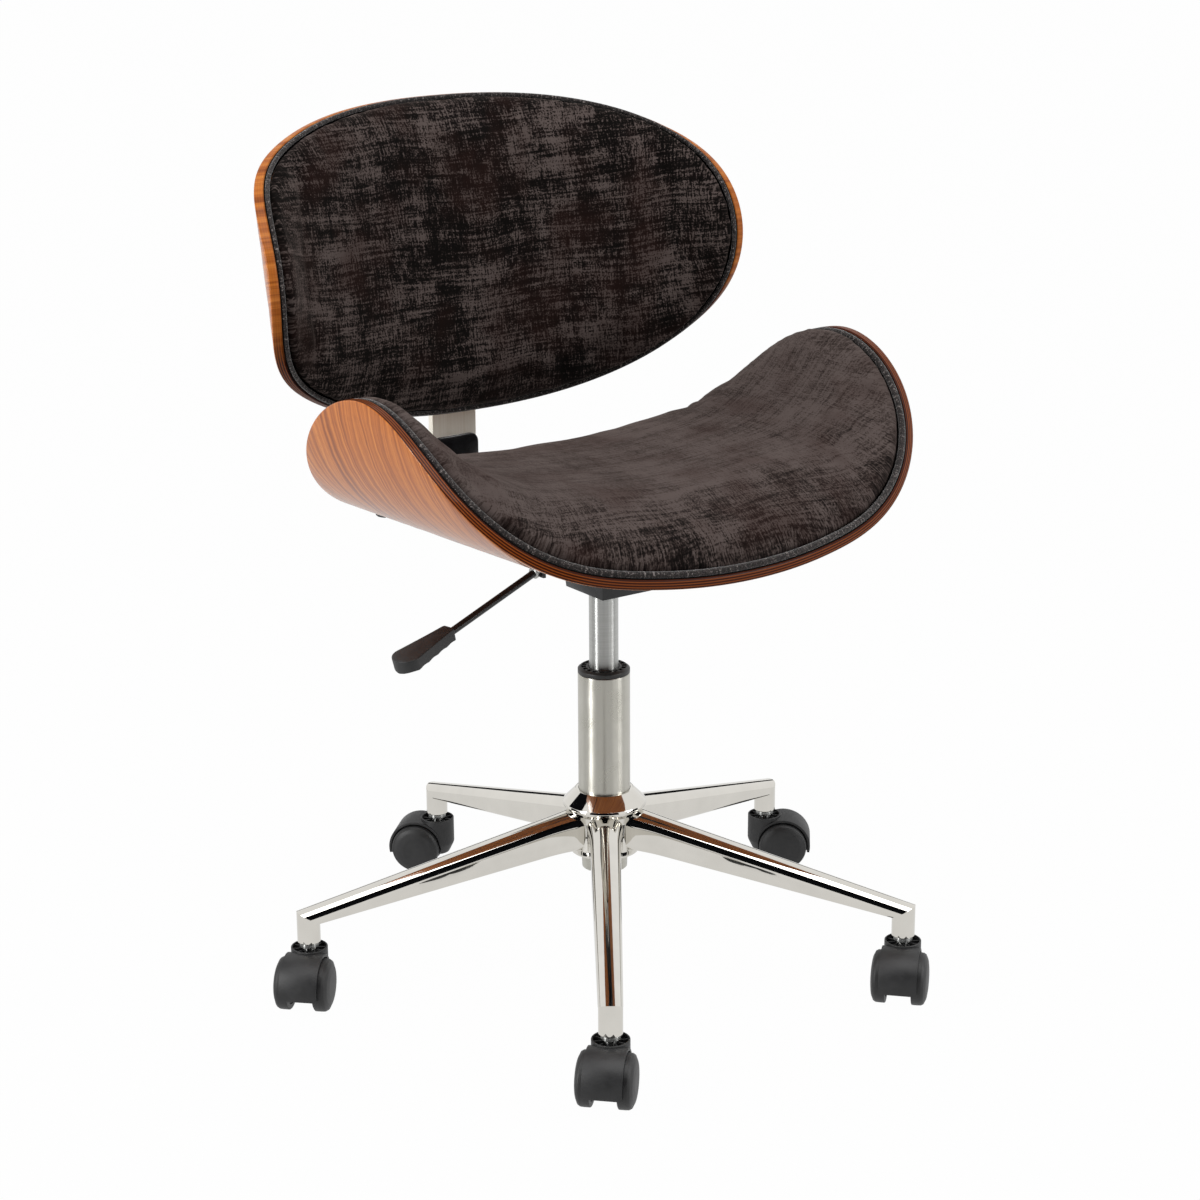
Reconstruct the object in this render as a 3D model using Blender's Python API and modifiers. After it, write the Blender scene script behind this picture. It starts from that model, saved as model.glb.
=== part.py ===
"""Swivel desk chair: bentwood seat and back, gas lift, five-leg base on twin-wheel casters.

Metres, +Z up. The chair faces -Y and stands on z = 0.
"""
import math

import bmesh
import bpy
from mathutils import Matrix, Vector

# Clearances
GAP = 0.0003                 # left between touching pieces
SLIP = 0.0006                # left round pins and shafts that turn or slide
WELT_CLEARANCE = 0.0008      # left between a pad and its welt
PIPING_GAP = 0.0010          # left under the welt, above the facets of the bent ply
PAD_GAP = 0.0001             # left under a pad, whose rounding lifts it off the facets

# Place of the column axis, ahead of the middle of the whole footprint
COLUMN_Y = -0.026

# Base
LEG_COUNT = 5
BASE_TURN = math.radians(19.5)       # direction of the first leg
LEG_REACH = 0.2955                   # column axis to caster stem
LEG_HALF_WIDTH_HUB = 0.0145
LEG_HALF_WIDTH_TIP = 0.0110
LEG_TOP_HUB = 0.159
LEG_BOTTOM_HUB = 0.122
LEG_TIP_DEPTH = 0.0130
LEG_WALL = 0.0020
SOCKET_RADIUS = 0.0110
SOCKET_BOTTOM = 0.060
SOCKET_HEIGHT = 0.031                # to the outer corner of the mitre
SOCKET_BORE_DEPTH = 0.0215
HUB_BOTTOM = 0.115
HUB_TOP = 0.178
HUB_RADIUS = 0.0325
HUB_WAIST = 0.0305
HUB_BELL = 0.0340                    # where the skirt flares out at its foot
HUB_COLLAR_RADIUS = 0.0407
HUB_COLLAR_Z = 0.1635
HUB_RIM_WIDTH = 0.0024

# Casters
WHEEL_RADIUS = 0.025
WHEEL_STEPS = 24
WHEEL_INNER_FACE = 0.0123            # from the caster's middle plane
WHEEL_OUTER_FACE = 0.0270
CASTER_TRAIL = 0.020
CASTER_TURNS = [-39.4, 135.1, 225.6, 224.6, 223.1]   # trail direction at each leg, degrees
HOOD_HALF_WIDTH = 0.0180
HOOD_RADIUS = 0.0288
HOOD_POCKET_RADIUS = 0.0263
HOOD_TOP = 0.0550
HOOD_TIP_ANGLE = -13
BOSS_RADIUS = 0.0175
STEM_RADIUS = 0.0055
STEM_COLLAR_RADIUS = 0.0090
STEM_LENGTH_IN_LEG = 0.0195
STEM_LENGTH_IN_HOOD = 0.0180
AXLE_RADIUS = 0.0030
AXLE_HALF_LENGTH = 0.0200

# Gas lift
TUBE_RADIUS = 0.0250
TUBE_WALL = 0.0018
TUBE_BOTTOM = 0.0975
TUBE_BOTTOM_RADIUS = 0.0218
TUBE_TOP = 0.2950
TUBE_FLOOR = 0.006
BUSH_HEIGHT = 0.0062
BUSH_DEPTH = 0.092
CYLINDER_RADIUS = 0.0140
CYLINDER_WALL = 0.0020
CYLINDER_BOTTOM = 0.190
CYLINDER_BELOW_SEAT = 0.0368         # its top, under the face of the seat's ply
CYLINDER_CAP = 0.008
CYLINDER_HEAD = 0.034
CYLINDER_TAPER = 0.0006
CYLINDER_TAPER_LENGTH = 0.024
ROD_RADIUS = 0.0050
PISTON_BOTTOM = 0.256
PISTON_HEIGHT = 0.014
BEARING_HEIGHT = 0.008
CLIP_RADIUS = 0.0090
CLIP_THICKNESS = 0.0015
PIN_RADIUS = 0.0040
PIN_LENGTH = 0.022
PIN_BORE_SPARE = 0.006

# Seat shell: developable bend across, straight front to back
PLY = 0.009
SEAT_Y = -0.0268                     # middle of the seat, from the column axis
SEAT_Z = 0.4423                      # face of the ply in the middle of the seat
SEAT_PITCH = math.radians(1.70)      # rear lower than front
SEAT_HALF_LENGTH = 0.3481            # along the ply, middle to wing tip
SEAT_FRONT = 0.1963
SEAT_REAR = 0.2150
SEAT_POWERS = (2.08, 1.93)
SEAT_BEND_START = 0.0916             # along the ply, where the flat middle ends
SEAT_BEND_END = 0.4305
SEAT_TURN_START = 0.128              # lean of the ply at the bend's start, radians
SEAT_TURN_END = 1.800
SHELL_STEPS = 36

# Seat upholstery
SEAT_CROWN = 0.060
SEAT_WING_CROWN = 0.048
SEAT_PAD_INSET = 0.0080
SEAT_PAD_EDGE = 0.014
SEAT_CROWN_POWERS = (4.5, 1.8)
PAD_SPOKES = 24
SEAT_PIPING_RADIUS = 0.0031
PIPING_INSET = 0.0005              # from the ply's edge to the welt
PIPING_POINTS = 56

# Back shell, in a frame that leans back
BACK_Y = 0.2493
BACK_Z = 0.6608
BACK_LEAN = math.radians(10.97)
BACK_HALF_LENGTH = 0.3058
BACK_TOP = 0.1562
BACK_BOTTOM = 0.1540
BACK_POWERS = (2.27, 1.99)
BACK_BEND_START = 0.1851
BACK_BEND_END = 0.3423
BACK_TURN_START = 0.3957
BACK_TURN_END = 1.4764
BACK_CROWN = 0.032
BACK_WING_CROWN = 0.022
BACK_PIPING_RADIUS = 0.0022
BACK_PAD_INSET = 0.0022
BACK_PAD_EDGE = 0.0120
BACK_CROWN_POWERS = (3.5, 2.0)

# Mechanism under the seat
PLATE_THICKNESS = 0.0030
PLATE_HALF_WIDTH = 0.0550
PLATE_FRONT = -0.100
PLATE_REAR = 0.100
HOUSING_HALF_WIDTH = 0.0350
HOUSING_FRONT = -0.048
HOUSING_KNEE = 0.0115
HOUSING_STEP = 0.0065
HOUSING_STEP_RUN = 0.0015
HOUSING_REAR = 0.060
HOUSING_BOTTOM = 0.3835
HOUSING_REAR_RISE = 0.0215
HOUSING_WALL = 0.0025
COLUMN_SOCKET_WALL = 0.0035
LUG_X = -0.0850
LUG_THICKNESS = 0.0030
LUG_HALF_WIDTH = 0.0080
LUG_DROP = 0.0062                    # from the lever's axis to the lug's lower edge
LEVER_Y = -0.0177
LEVER_Z = 0.4155
LEVER_RADIUS = 0.0035
LEVER_SLOPE = math.radians(16.5)
LEVER_BEND = 0.0075                  # inside the lug
LUG_CLEARANCE = 0.0010
LEVER_OUTER_LENGTH = 0.1148
LEVER_COLLAR_RADIUS = 0.0056
LEVER_COLLAR_LENGTH = 0.0040
LEVER_PAST_PIN = 0.0060
SLOT_CLEARANCE = 0.0015
SLOT_SWING = 0.0025                  # room for the rod as the lever lifts
PADDLE_LENGTH = 0.0645
PADDLE_SLOPE = math.radians(14.6)
PADDLE_THICKNESS = 0.0125
PADDLE_NARROW = 0.0075
PADDLE_MIDDLE = 0.0108
PADDLE_WIDE = 0.0148
PADDLE_GRIP = 0.0220                 # length of the rod inside the paddle

# Back bar and its cover
BAR_WIDTH = 0.0520
BAR_THICKNESS = 0.0080
BAR_FRONT = 0.0700
BAR_FACE_Y = 0.2577                  # front face of the upright
BAR_BEND = 0.0360
BAR_KINK = 0.0800
BAR_TOP_ON_BACK = 0.0850
SLEEVE_START = 0.2100
SLEEVE_TOP = 0.4770
SLEEVE_WALL = 0.0020
SLEEVE_ROUNDING = 0.0014

# Fasteners
HOLE_SPARE = 0.010                   # length of a cutter past what it bores
BOLT_RADIUS = 0.0040
BOLT_HEAD_RADIUS = 0.0075
BOLT_HEAD_HEIGHT = 0.0042
SEAT_BOLT_X = 0.0450
SEAT_BOLT_YS = (-0.082, 0.082)
BAR_BOLT_YS = (0.084, 0.150)
BACK_BOLT_HEIGHTS = (0.025, 0.065)
CAP_SCREW_SHARE = 0.4022             # of the seat's half length, from the middle
CAP_SCREW_FROM_REAR = 0.0232         # from the line of the seat's rearmost edge
CAP_SCREW_RADIUS = 0.0070
CAP_SCREW_HEIGHT = 0.0070
CAP_SCREW_SHANK = 0.0025

COLOURS = {
    "chrome": ("#c9c7c2", 0.12, 1.0),
    "satin_steel": ("#b4b2ad", 0.34, 1.0),
    "dark_steel": ("#3a3a3a", 0.45, 1.0),
    "black_paint": ("#17171a", 0.45, 0.0),
    "black_nylon": ("#1b1b1d", 0.55, 0.0),
    "walnut": ("#8a4a22", 0.38, 0.0),
    "velvet": ("#3b3432", 0.85, 0.0),
    "welt": ("#2c2a2a", 0.80, 0.0),
}


def linear_colour(code):
    """Turn a hex sRGB colour into the linear values a shader takes."""
    channels = [int(code[i:i + 2], 16) / 255 for i in (1, 3, 5)]
    return [c / 12.92 if c <= 0.04045 else ((c + 0.055) / 1.055) ** 2.4 for c in channels]


def material_for(name):
    """Return a new Principled material for one object, in one of the chair's finishes."""
    code, roughness, metallic = COLOURS[name]
    material = bpy.data.materials.new(name)
    material.use_nodes = True
    shader = material.node_tree.nodes["Principled BSDF"]
    shader.inputs["Base Color"].default_value = (*linear_colour(code), 1.0)
    shader.inputs["Roughness"].default_value = roughness
    shader.inputs["Metallic"].default_value = metallic
    return material


def clear_scene():
    for item in list(bpy.data.objects):
        bpy.data.objects.remove(item, do_unlink=True)


def new_collection(name):
    collection = bpy.data.collections.new(name)
    bpy.context.scene.collection.children.link(collection)
    return collection


clear_scene()
CHAIR = new_collection("desk_chair")
CUTTERS = new_collection("cutters")


def empty(name, parent=None, location=(0, 0, 0), rotation=(0, 0, 0)):
    """Add an empty that carries a group of pieces or stands on a joint's axis."""
    item = bpy.data.objects.new(name, None)
    item.empty_display_size = 0.03
    item.location = location
    item.rotation_euler = rotation
    item.parent = parent
    CHAIR.objects.link(item)
    return item


def place(name, data, finish, parent, location=(0, 0, 0), rotation=(0, 0, 0)):
    """Add one piece of the chair and give it its own material."""
    item = bpy.data.objects.new(name, data)
    if not data.materials:
        data.materials.append(material_for(finish))
    item.location = location
    item.rotation_euler = rotation
    item.parent = parent
    CHAIR.objects.link(item)
    return item


def cutter(data, parent=None, location=(0, 0, 0), rotation=(0, 0, 0)):
    """Add a body that only cuts others."""
    item = bpy.data.objects.new("cutter", data)
    item.location = location
    item.rotation_euler = rotation
    item.parent = parent
    item.hide_render = True
    item.display_type = "WIRE"
    CUTTERS.objects.link(item)
    return item


def combine(target, other, operation="DIFFERENCE"):
    modifier = target.modifiers.new(operation.lower(), "BOOLEAN")
    modifier.operation = operation
    modifier.solver = "EXACT"
    modifier.object = other


def baked(item, name):
    """Return the evaluated mesh of an object, and remove the object with its cutters."""
    bpy.context.view_layer.update()
    depsgraph = bpy.context.evaluated_depsgraph_get()
    mesh = bpy.data.meshes.new_from_object(item.evaluated_get(depsgraph))
    mesh.name = name
    tools = [modifier.object for modifier in item.modifiers if modifier.type == "BOOLEAN"]
    for tool in tools + [item]:
        bpy.data.objects.remove(tool, do_unlink=True)
    return mesh


def finish_mesh(bm, name, smooth_angle=35):
    bmesh.ops.recalc_face_normals(bm, faces=bm.faces)
    mesh = bpy.data.meshes.new(name)
    bm.to_mesh(mesh)
    bm.free()
    mesh.shade_smooth()
    mesh.set_sharp_from_angle(angle=math.radians(smooth_angle))
    return mesh


def loft(name, sections):
    """Join a row of closed loops into one solid with flat ends."""
    bm = bmesh.new()
    loops = [[bm.verts.new(point) for point in section] for section in sections]
    count = len(loops[0])
    for first, second in zip(loops, loops[1:]):
        for i in range(count):
            j = (i + 1) % count
            bm.faces.new((first[i], first[j], second[j], second[i]))
    bm.faces.new(loops[0])
    bm.faces.new(loops[-1])
    return finish_mesh(bm, name)


def box(name, low, high):
    """Return a box mesh between two corners."""
    bm = bmesh.new()
    bmesh.ops.create_cube(bm, size=1.0)
    size = [b - a for a, b in zip(low, high)]
    middle = [(a + b) / 2 for a, b in zip(low, high)]
    bmesh.ops.scale(bm, vec=size, verts=bm.verts)
    bmesh.ops.translate(bm, vec=middle, verts=bm.verts)
    return finish_mesh(bm, name)


def slab(name, outline, low, high, axis="Y"):
    """Extrude an outline in the plane across an axis, from low to high along it."""
    def at(point, depth):
        first, second = point
        return {"X": (depth, first, second), "Y": (first, depth, second),
                "Z": (first, second, depth)}[axis]
    return loft(name, [[at(point, depth) for point in outline] for depth in (low, high)])


def rod(name, radius, low, high, axis="Z", steps=24, turn=0.0):
    """Return a plain cylinder along one axis."""
    bm = bmesh.new()
    bmesh.ops.create_cone(bm, cap_ends=True, segments=steps, radius1=radius, radius2=radius,
                          depth=high - low)
    bmesh.ops.rotate(bm, matrix=Matrix.Rotation(turn, 3, "Z"), verts=bm.verts)
    bmesh.ops.translate(bm, vec=(0, 0, (low + high) / 2), verts=bm.verts)
    swing = {"X": Matrix.Rotation(math.pi / 2, 3, "Y"), "Y": Matrix.Rotation(-math.pi / 2, 3, "X"),
             "Z": Matrix.Identity(3)}[axis]
    bmesh.ops.rotate(bm, matrix=swing, verts=bm.verts)
    return finish_mesh(bm, name)


def turned(name, profile, steps=40, ring=False, turn=0.0):
    """Return the mesh of a profile, outer side top to bottom, screwed round Z.

    A ring's profile is a closed loop. Another starts and ends on the axis.
    """
    bm = bmesh.new()
    verts = [bm.verts.new((r * math.cos(turn), r * math.sin(turn), z)) for r, z in profile]
    for first, second in zip(verts, verts[1:]):
        bm.edges.new((first, second))
    if ring:
        bm.edges.new((verts[-1], verts[0]))
    mesh = bpy.data.meshes.new(name)
    bm.to_mesh(mesh)
    bm.free()
    item = bpy.data.objects.new(name, mesh)
    CUTTERS.objects.link(item)
    screw = item.modifiers.new("turn", "SCREW")
    screw.steps = steps
    screw.render_steps = steps
    screw.use_merge_vertices = True
    screw.merge_threshold = 0.00001
    result = baked(item, name)
    result.shade_smooth()
    result.set_sharp_from_angle(angle=math.radians(35))
    return result


def arc(centre, radius, start, end, steps):
    """Points on an arc, angles in degrees, both ends included."""
    points = []
    for i in range(steps + 1):
        angle = math.radians(start + (end - start) * i / steps)
        points.append((centre[0] + radius * math.cos(angle), centre[1] + radius * math.sin(angle)))
    return points


def rounded_path(corners, radii, steps=8):
    """Replace the inner corners of a path in a plane by arcs."""
    points = [Vector(corners[0])]
    for before, corner, after, radius in zip(corners, corners[1:], corners[2:], radii):
        corner = Vector(corner)
        back = (Vector(before) - corner).normalized()
        ahead = (Vector(after) - corner).normalized()
        half = back.angle(ahead) / 2
        reach = radius / math.tan(half)
        centre = corner + (back + ahead).normalized() * (radius / math.sin(half))
        start = corner + back * reach - centre
        end = corner + ahead * reach - centre
        swing = start.angle_signed(end)
        for i in range(steps + 1):
            turn = -swing * i / steps
            spun = Matrix.Rotation(turn, 2) @ start
            points.append(centre + spun)
    points.append(Vector(corners[-1]))
    return points


def strip(name, path, half_width, half_thickness):
    """Sweep a flat bar's section along a path in the YZ plane."""
    sections = []
    for i, point in enumerate(path):
        before = path[max(i - 1, 0)]
        after = path[min(i + 1, len(path) - 1)]
        along = (after - before).normalized()
        side = Vector((-along.y, along.x))
        lean = 1.0
        if 0 < i < len(path) - 1:
            lean = 1.0 / max(0.5, math.cos((point - before).angle(after - point) / 2))
        low = point - side * half_thickness * lean
        high = point + side * half_thickness * lean
        sections.append([(-half_width, *low), (half_width, *low),
                         (half_width, *high), (-half_width, *high)])
    return loft(name, sections)


def tangent_angle(u, bend):
    """Angle of the bent ply at a distance u along it from the middle."""
    start, end, start_turn, end_turn = bend
    share = min(max((abs(u) - start) / (end - start), 0.0), 1.0)
    ease = share * share * (3 - 2 * share)
    return start_turn * min(abs(u) / start, 1.0) + (end_turn - start_turn) * ease


def bend_table(bend, length, steps=400):
    """Places across and up the bend at equal distances along the ply."""
    step = length / steps
    table = [(0.0, 0.0)]
    for i in range(steps):
        angle = tangent_angle((i + 0.5) * step, bend)
        x, rise = table[-1]
        table.append((x + step * math.cos(angle), rise + step * math.sin(angle)))
    return table, step


SEAT_BEND = (SEAT_BEND_START, SEAT_BEND_END, SEAT_TURN_START, SEAT_TURN_END)
BACK_BEND = (BACK_BEND_START, BACK_BEND_END, BACK_TURN_START, BACK_TURN_END)
SEAT_TABLE = bend_table(SEAT_BEND, SEAT_HALF_LENGTH * 1.02)
BACK_TABLE = bend_table(BACK_BEND, BACK_HALF_LENGTH * 1.02)


def on_bend(u, height, bend, table):
    """Place across and up for a point u along the ply and a height above its inner face."""
    places, step = table
    spot = min(abs(u) / step, len(places) - 1.001)
    index = int(spot)
    share = spot - index
    x = places[index][0] * (1 - share) + places[index + 1][0] * share
    rise = places[index][1] * (1 - share) + places[index + 1][1] * share
    angle = tangent_angle(u, bend)
    side = 1 if u >= 0 else -1
    return side * (x - height * math.sin(angle)), rise + height * math.cos(angle)


def seat_point(u, v, height):
    """Point on the seat: u across along the ply, v to the rear, height above the ply's face."""
    x, rise = on_bend(u, height, SEAT_BEND, SEAT_TABLE)
    return x, v, rise


def back_point(u, v, height):
    """Point on the back: u across along the ply, v up, height ahead of the ply's face."""
    x, rise = on_bend(u, height, BACK_BEND, BACK_TABLE)
    return x, -rise, v


def outline_point(angle, half_length, low, high, powers):
    """Point on a superellipse whose two halves have their own depth."""
    c, s = math.cos(angle), math.sin(angle)
    depth = high if s > 0 else low
    return (math.copysign(half_length * abs(c) ** (2 / powers[0]), c),
            math.copysign(depth * abs(s) ** (2 / powers[1]), s))


def ply_shell(name, place_point, half_length, low, high, powers):
    """Mesh of a bent ply's face: one flat strip from edge to edge between two rulings."""
    bm = bmesh.new()
    columns = []
    for i in range(SHELL_STEPS + 1):
        u, v = outline_point(math.pi * i / SHELL_STEPS, half_length, low, high, powers)
        if i in (0, SHELL_STEPS):
            columns.append([bm.verts.new(place_point(u, 0.0, 0.0))])
        else:
            columns.append([bm.verts.new(place_point(u, -v * low / high, 0.0)),
                            bm.verts.new(place_point(u, v, 0.0))])
    for first, second in zip(columns, columns[1:]):
        bm.faces.new(first + second[::-1])
    mesh = bpy.data.meshes.new(name)
    bm.to_mesh(mesh)
    bm.free()
    return mesh


def add_ply(item):
    """Thicken a ply face away from the sitter."""
    solid = item.modifiers.new("ply", "SOLIDIFY")
    solid.thickness = PLY
    solid.offset = -1.0
    solid.use_even_offset = True


def cushion(name, place_point, sizes, powers, crown, wing_crown, edge, crown_powers, inset, welt):
    """Cage of a crowned pad on a bent ply, its side drawn in to clear the welt.

    sizes are the ply's half length and its depth to each side of the middle.
    """
    half_length, low, high = sizes

    def ring(shrink, height, share=1.0):
        points = []
        for i in range(PAD_SPOKES):
            angle = 2 * math.pi * i / PAD_SPOKES
            u, v = outline_point(angle, half_length - shrink, low - shrink, high - shrink, powers)
            u, v = u * share, v * share
            points.append(place_point(u, v, height(u, share)))
        return points

    def crowned(u, share):
        wing = min(max(abs(u) / half_length, 0.0), 1.0) ** 2
        top = crown * (1 - wing) + wing_crown * wing
        swell = max(0.0, 1 - share ** crown_powers[0]) ** (1 / crown_powers[1])
        return edge + (top - edge) * swell

    def level(height):
        return lambda u, share: height

    rings = [ring(inset, crowned, share) for share in (0.35, 0.62, 0.82, 0.94, 0.985)]
    over = 2 * welt + PIPING_GAP + WELT_CLEARANCE
    tuck = max(inset, 2 * welt + PIPING_INSET + 1.5 * WELT_CLEARANCE)
    rings.append(ring(inset, level(over + 0.25 * (edge - over))))
    rings.append(ring(tuck, level(over)))
    rings.append(ring(tuck + 0.0015, level(PAD_GAP)))
    rings.append(ring(inset, level(PAD_GAP), 0.5))
    bm = bmesh.new()
    loops = [[bm.verts.new(point) for point in points] for points in rings]
    for first, second in zip(loops, loops[1:]):
        for i in range(PAD_SPOKES):
            j = (i + 1) % PAD_SPOKES
            bm.faces.new((first[i], second[i], second[j], first[j]))
    for loop, height in ((loops[0], crown), (loops[-1], PAD_GAP)):
        middle = bm.verts.new(place_point(0.0, 0.0, height))
        for i in range(PAD_SPOKES):
            bm.faces.new((loop[i], loop[(i + 1) % PAD_SPOKES], middle))
    return finish_mesh(bm, name, 80)


def add_softness(item):
    soft = item.modifiers.new("soft", "SUBSURF")
    soft.levels = 1
    soft.render_levels = 1


def piping_curve(name, place_point, sizes, powers, radius):
    """Round welt that lies on the ply's face just inside its edge."""
    half_length, low, high = sizes
    inset = radius + PIPING_INSET
    curve = bpy.data.curves.new(name, "CURVE")
    curve.dimensions = "3D"
    curve.bevel_depth = radius
    curve.bevel_resolution = 2
    spline = curve.splines.new("POLY")
    spline.points.add(PIPING_POINTS - 1)
    spline.use_cyclic_u = True
    for i, point in enumerate(spline.points):
        angle = 2 * math.pi * i / PIPING_POINTS
        u, v = outline_point(angle, half_length - inset, low - inset, high - inset, powers)
        point.co = (*place_point(u, v, radius + PIPING_GAP), 1.0)
    return curve


# Root and the frames that the pieces hang in
COLUMN = empty("column_axis", location=(0, COLUMN_Y, 0))
SEAT_FRAME = empty("seat_frame", COLUMN, (0, SEAT_Y, SEAT_Z), (-SEAT_PITCH, 0, 0))
BACK_FRAME = empty("back_frame", COLUMN, (0, BACK_Y, BACK_Z), (-BACK_LEAN, 0, 0))


def hub_profile(clear):
    """Outer side of the welded hub, top to bottom, grown by a clearance."""
    mouth = TUBE_RADIUS + GAP
    return [(mouth + HUB_RIM_WIDTH + clear, HUB_TOP + clear),
            (HUB_COLLAR_RADIUS - 0.0008 + clear, HUB_COLLAR_Z + 0.0022 + clear),
            (HUB_COLLAR_RADIUS + clear, HUB_COLLAR_Z),
            (HUB_COLLAR_RADIUS - 0.0012 + clear, HUB_COLLAR_Z - 0.0025 - clear),
            (HUB_WAIST + 0.0025 + clear, HUB_COLLAR_Z - 0.0120 - clear),
            (HUB_WAIST + 0.0004 + clear, HUB_COLLAR_Z - 0.0185 - clear),
            (HUB_WAIST + clear, HUB_BOTTOM + 0.016),
            (HUB_BELL - 0.0010 + clear, HUB_BOTTOM + 0.006),
            (HUB_BELL + clear, HUB_BOTTOM + 0.002),
            (HUB_BELL - 0.0006 + clear, HUB_BOTTOM - clear)]


def tube_radius(z):
    """Outer radius of the column tube, which tapers inside the hub."""
    share = min(max((HUB_TOP - z) / (HUB_TOP - TUBE_BOTTOM), 0.0), 1.0)
    return TUBE_RADIUS + (TUBE_BOTTOM_RADIUS - TUBE_RADIUS) * share


# Base hub
hub_bore = [(tube_radius(HUB_BOTTOM) + GAP, HUB_BOTTOM), (TUBE_RADIUS + GAP, HUB_TOP)]
HUB_STEPS = 32
place("base_hub", turned("base_hub", hub_profile(0.0) + hub_bore, HUB_STEPS, ring=True),
      "chrome", COLUMN)


def leg_section(x, shrink=0.0):
    """Arched section of a leg at a distance x from the column axis."""
    share = (x - HUB_RADIUS) / (LEG_REACH - HUB_RADIUS)
    tip_top = SOCKET_BOTTOM + SOCKET_HEIGHT + SOCKET_RADIUS * 0.25
    tip_bottom = tip_top - LEG_TIP_DEPTH - SOCKET_RADIUS * 0.25
    half = LEG_HALF_WIDTH_HUB + (LEG_HALF_WIDTH_TIP - LEG_HALF_WIDTH_HUB) * share - shrink
    top = LEG_TOP_HUB + (tip_top - LEG_TOP_HUB) * share - shrink
    bottom = LEG_BOTTOM_HUB + (tip_bottom - LEG_BOTTOM_HUB) * share + shrink
    spring = top - half * 0.92
    corner = half * 0.35
    points = [(-half + corner, bottom), (half - corner, bottom), (half, bottom + corner * 0.5)]
    points += [(half * math.cos(math.radians(a)), spring + (top - spring) * math.sin(math.radians(a)))
               for a in range(0, 181, 20)]
    points.append((-half, bottom + corner * 0.5))
    return [(x, y, z) for y, z in points]


def leg_mesh():
    """One leg with its caster socket, pointing along +X."""
    far = LEG_REACH + 0.04
    near = HUB_RADIUS - 0.008
    top_corner = Vector((LEG_REACH + SOCKET_RADIUS, 0, SOCKET_BOTTOM + SOCKET_HEIGHT))
    inner = leg_section(LEG_REACH - SOCKET_RADIUS)
    low_corner = Vector((LEG_REACH - SOCKET_RADIUS, 0, inner[0][2]))
    mitre = (top_corner - low_corner).normalized()
    normal = Vector((mitre.z, 0, -mitre.x))

    def trimmed(mesh, point, outward, name):
        bm = bmesh.new()
        bm.from_mesh(mesh)
        parts = bm.verts[:] + bm.edges[:] + bm.faces[:]
        cut = bmesh.ops.bisect_plane(bm, geom=parts, plane_co=point, plane_no=outward,
                                     clear_outer=True)
        edges = [part for part in cut["geom_cut"] if isinstance(part, bmesh.types.BMEdge)]
        bmesh.ops.contextual_create(bm, geom=edges)
        return finish_mesh(bm, name)

    beam = trimmed(loft("beam", [leg_section(near), leg_section(far)]), top_corner, normal, "beam")
    tube = rod("tube", SOCKET_RADIUS, SOCKET_BOTTOM, SOCKET_BOTTOM + 0.06, steps=24)
    tube.transform(Matrix.Translation((LEG_REACH, 0, 0)))
    tube = trimmed(tube, top_corner - normal * GAP, -normal, "tube")
    leg = bpy.data.objects.new("leg", beam)
    CUTTERS.objects.link(leg)
    combine(leg, cutter(tube), "UNION")
    hollow = loft("hollow", [leg_section(near - 0.01, LEG_WALL),
                             leg_section(LEG_REACH - 0.035, LEG_WALL)])
    combine(leg, cutter(hollow))
    bore = rod("bore", STEM_RADIUS + SLIP, SOCKET_BOTTOM - 0.01, SOCKET_BOTTOM + SOCKET_BORE_DEPTH,
               steps=12)
    combine(leg, cutter(bore, location=(LEG_REACH, 0, 0)))
    wrap = [(0, HUB_TOP + 0.01)] + [(r, z) for r, z in hub_profile(GAP)]
    wrap = wrap + [(HUB_BELL + GAP, HUB_BOTTOM - 0.02), (0, HUB_BOTTOM - 0.02)]
    combine(leg, cutter(turned("wrap", wrap, HUB_STEPS)))
    return baked(leg, "base_leg")


LEG_MESH = leg_mesh()
for index in range(LEG_COUNT):
    direction = BASE_TURN + index * 2 * math.pi / LEG_COUNT
    place(f"base_leg_{index + 1}", LEG_MESH, "chrome", COLUMN, rotation=(0, 0, direction))

# Outer tube of the gas lift, tapered where it wedges into the hub
inner_low = tube_radius(TUBE_BOTTOM + TUBE_FLOOR) - TUBE_WALL
tube_profile = [(TUBE_RADIUS, TUBE_TOP), (TUBE_RADIUS, HUB_TOP), (TUBE_BOTTOM_RADIUS, TUBE_BOTTOM),
                (ROD_RADIUS + SLIP, TUBE_BOTTOM), (ROD_RADIUS + SLIP, TUBE_BOTTOM + TUBE_FLOOR),
                (inner_low, TUBE_BOTTOM + TUBE_FLOOR), (TUBE_RADIUS - TUBE_WALL, HUB_TOP),
                (TUBE_RADIUS - TUBE_WALL, TUBE_TOP)]
place("column_tube", turned("column_tube", tube_profile, HUB_STEPS, ring=True), "chrome", COLUMN)

# Guide bush: a flange on the tube and a sleeve down inside it
bush_bore = CYLINDER_RADIUS + SLIP
bush_sleeve = TUBE_RADIUS - TUBE_WALL - GAP
bush_top = TUBE_TOP + BUSH_HEIGHT
bush_profile = [(TUBE_RADIUS - 0.0030, bush_top), (TUBE_RADIUS, bush_top - 0.0025),
                (TUBE_RADIUS, TUBE_TOP + GAP), (bush_sleeve, TUBE_TOP + GAP),
                (bush_sleeve, TUBE_TOP - BUSH_DEPTH), (bush_bore, TUBE_TOP - BUSH_DEPTH),
                (bush_bore, bush_top)]
place("column_bush", turned("column_bush", bush_profile, 32, ring=True), "black_nylon", COLUMN)

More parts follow.
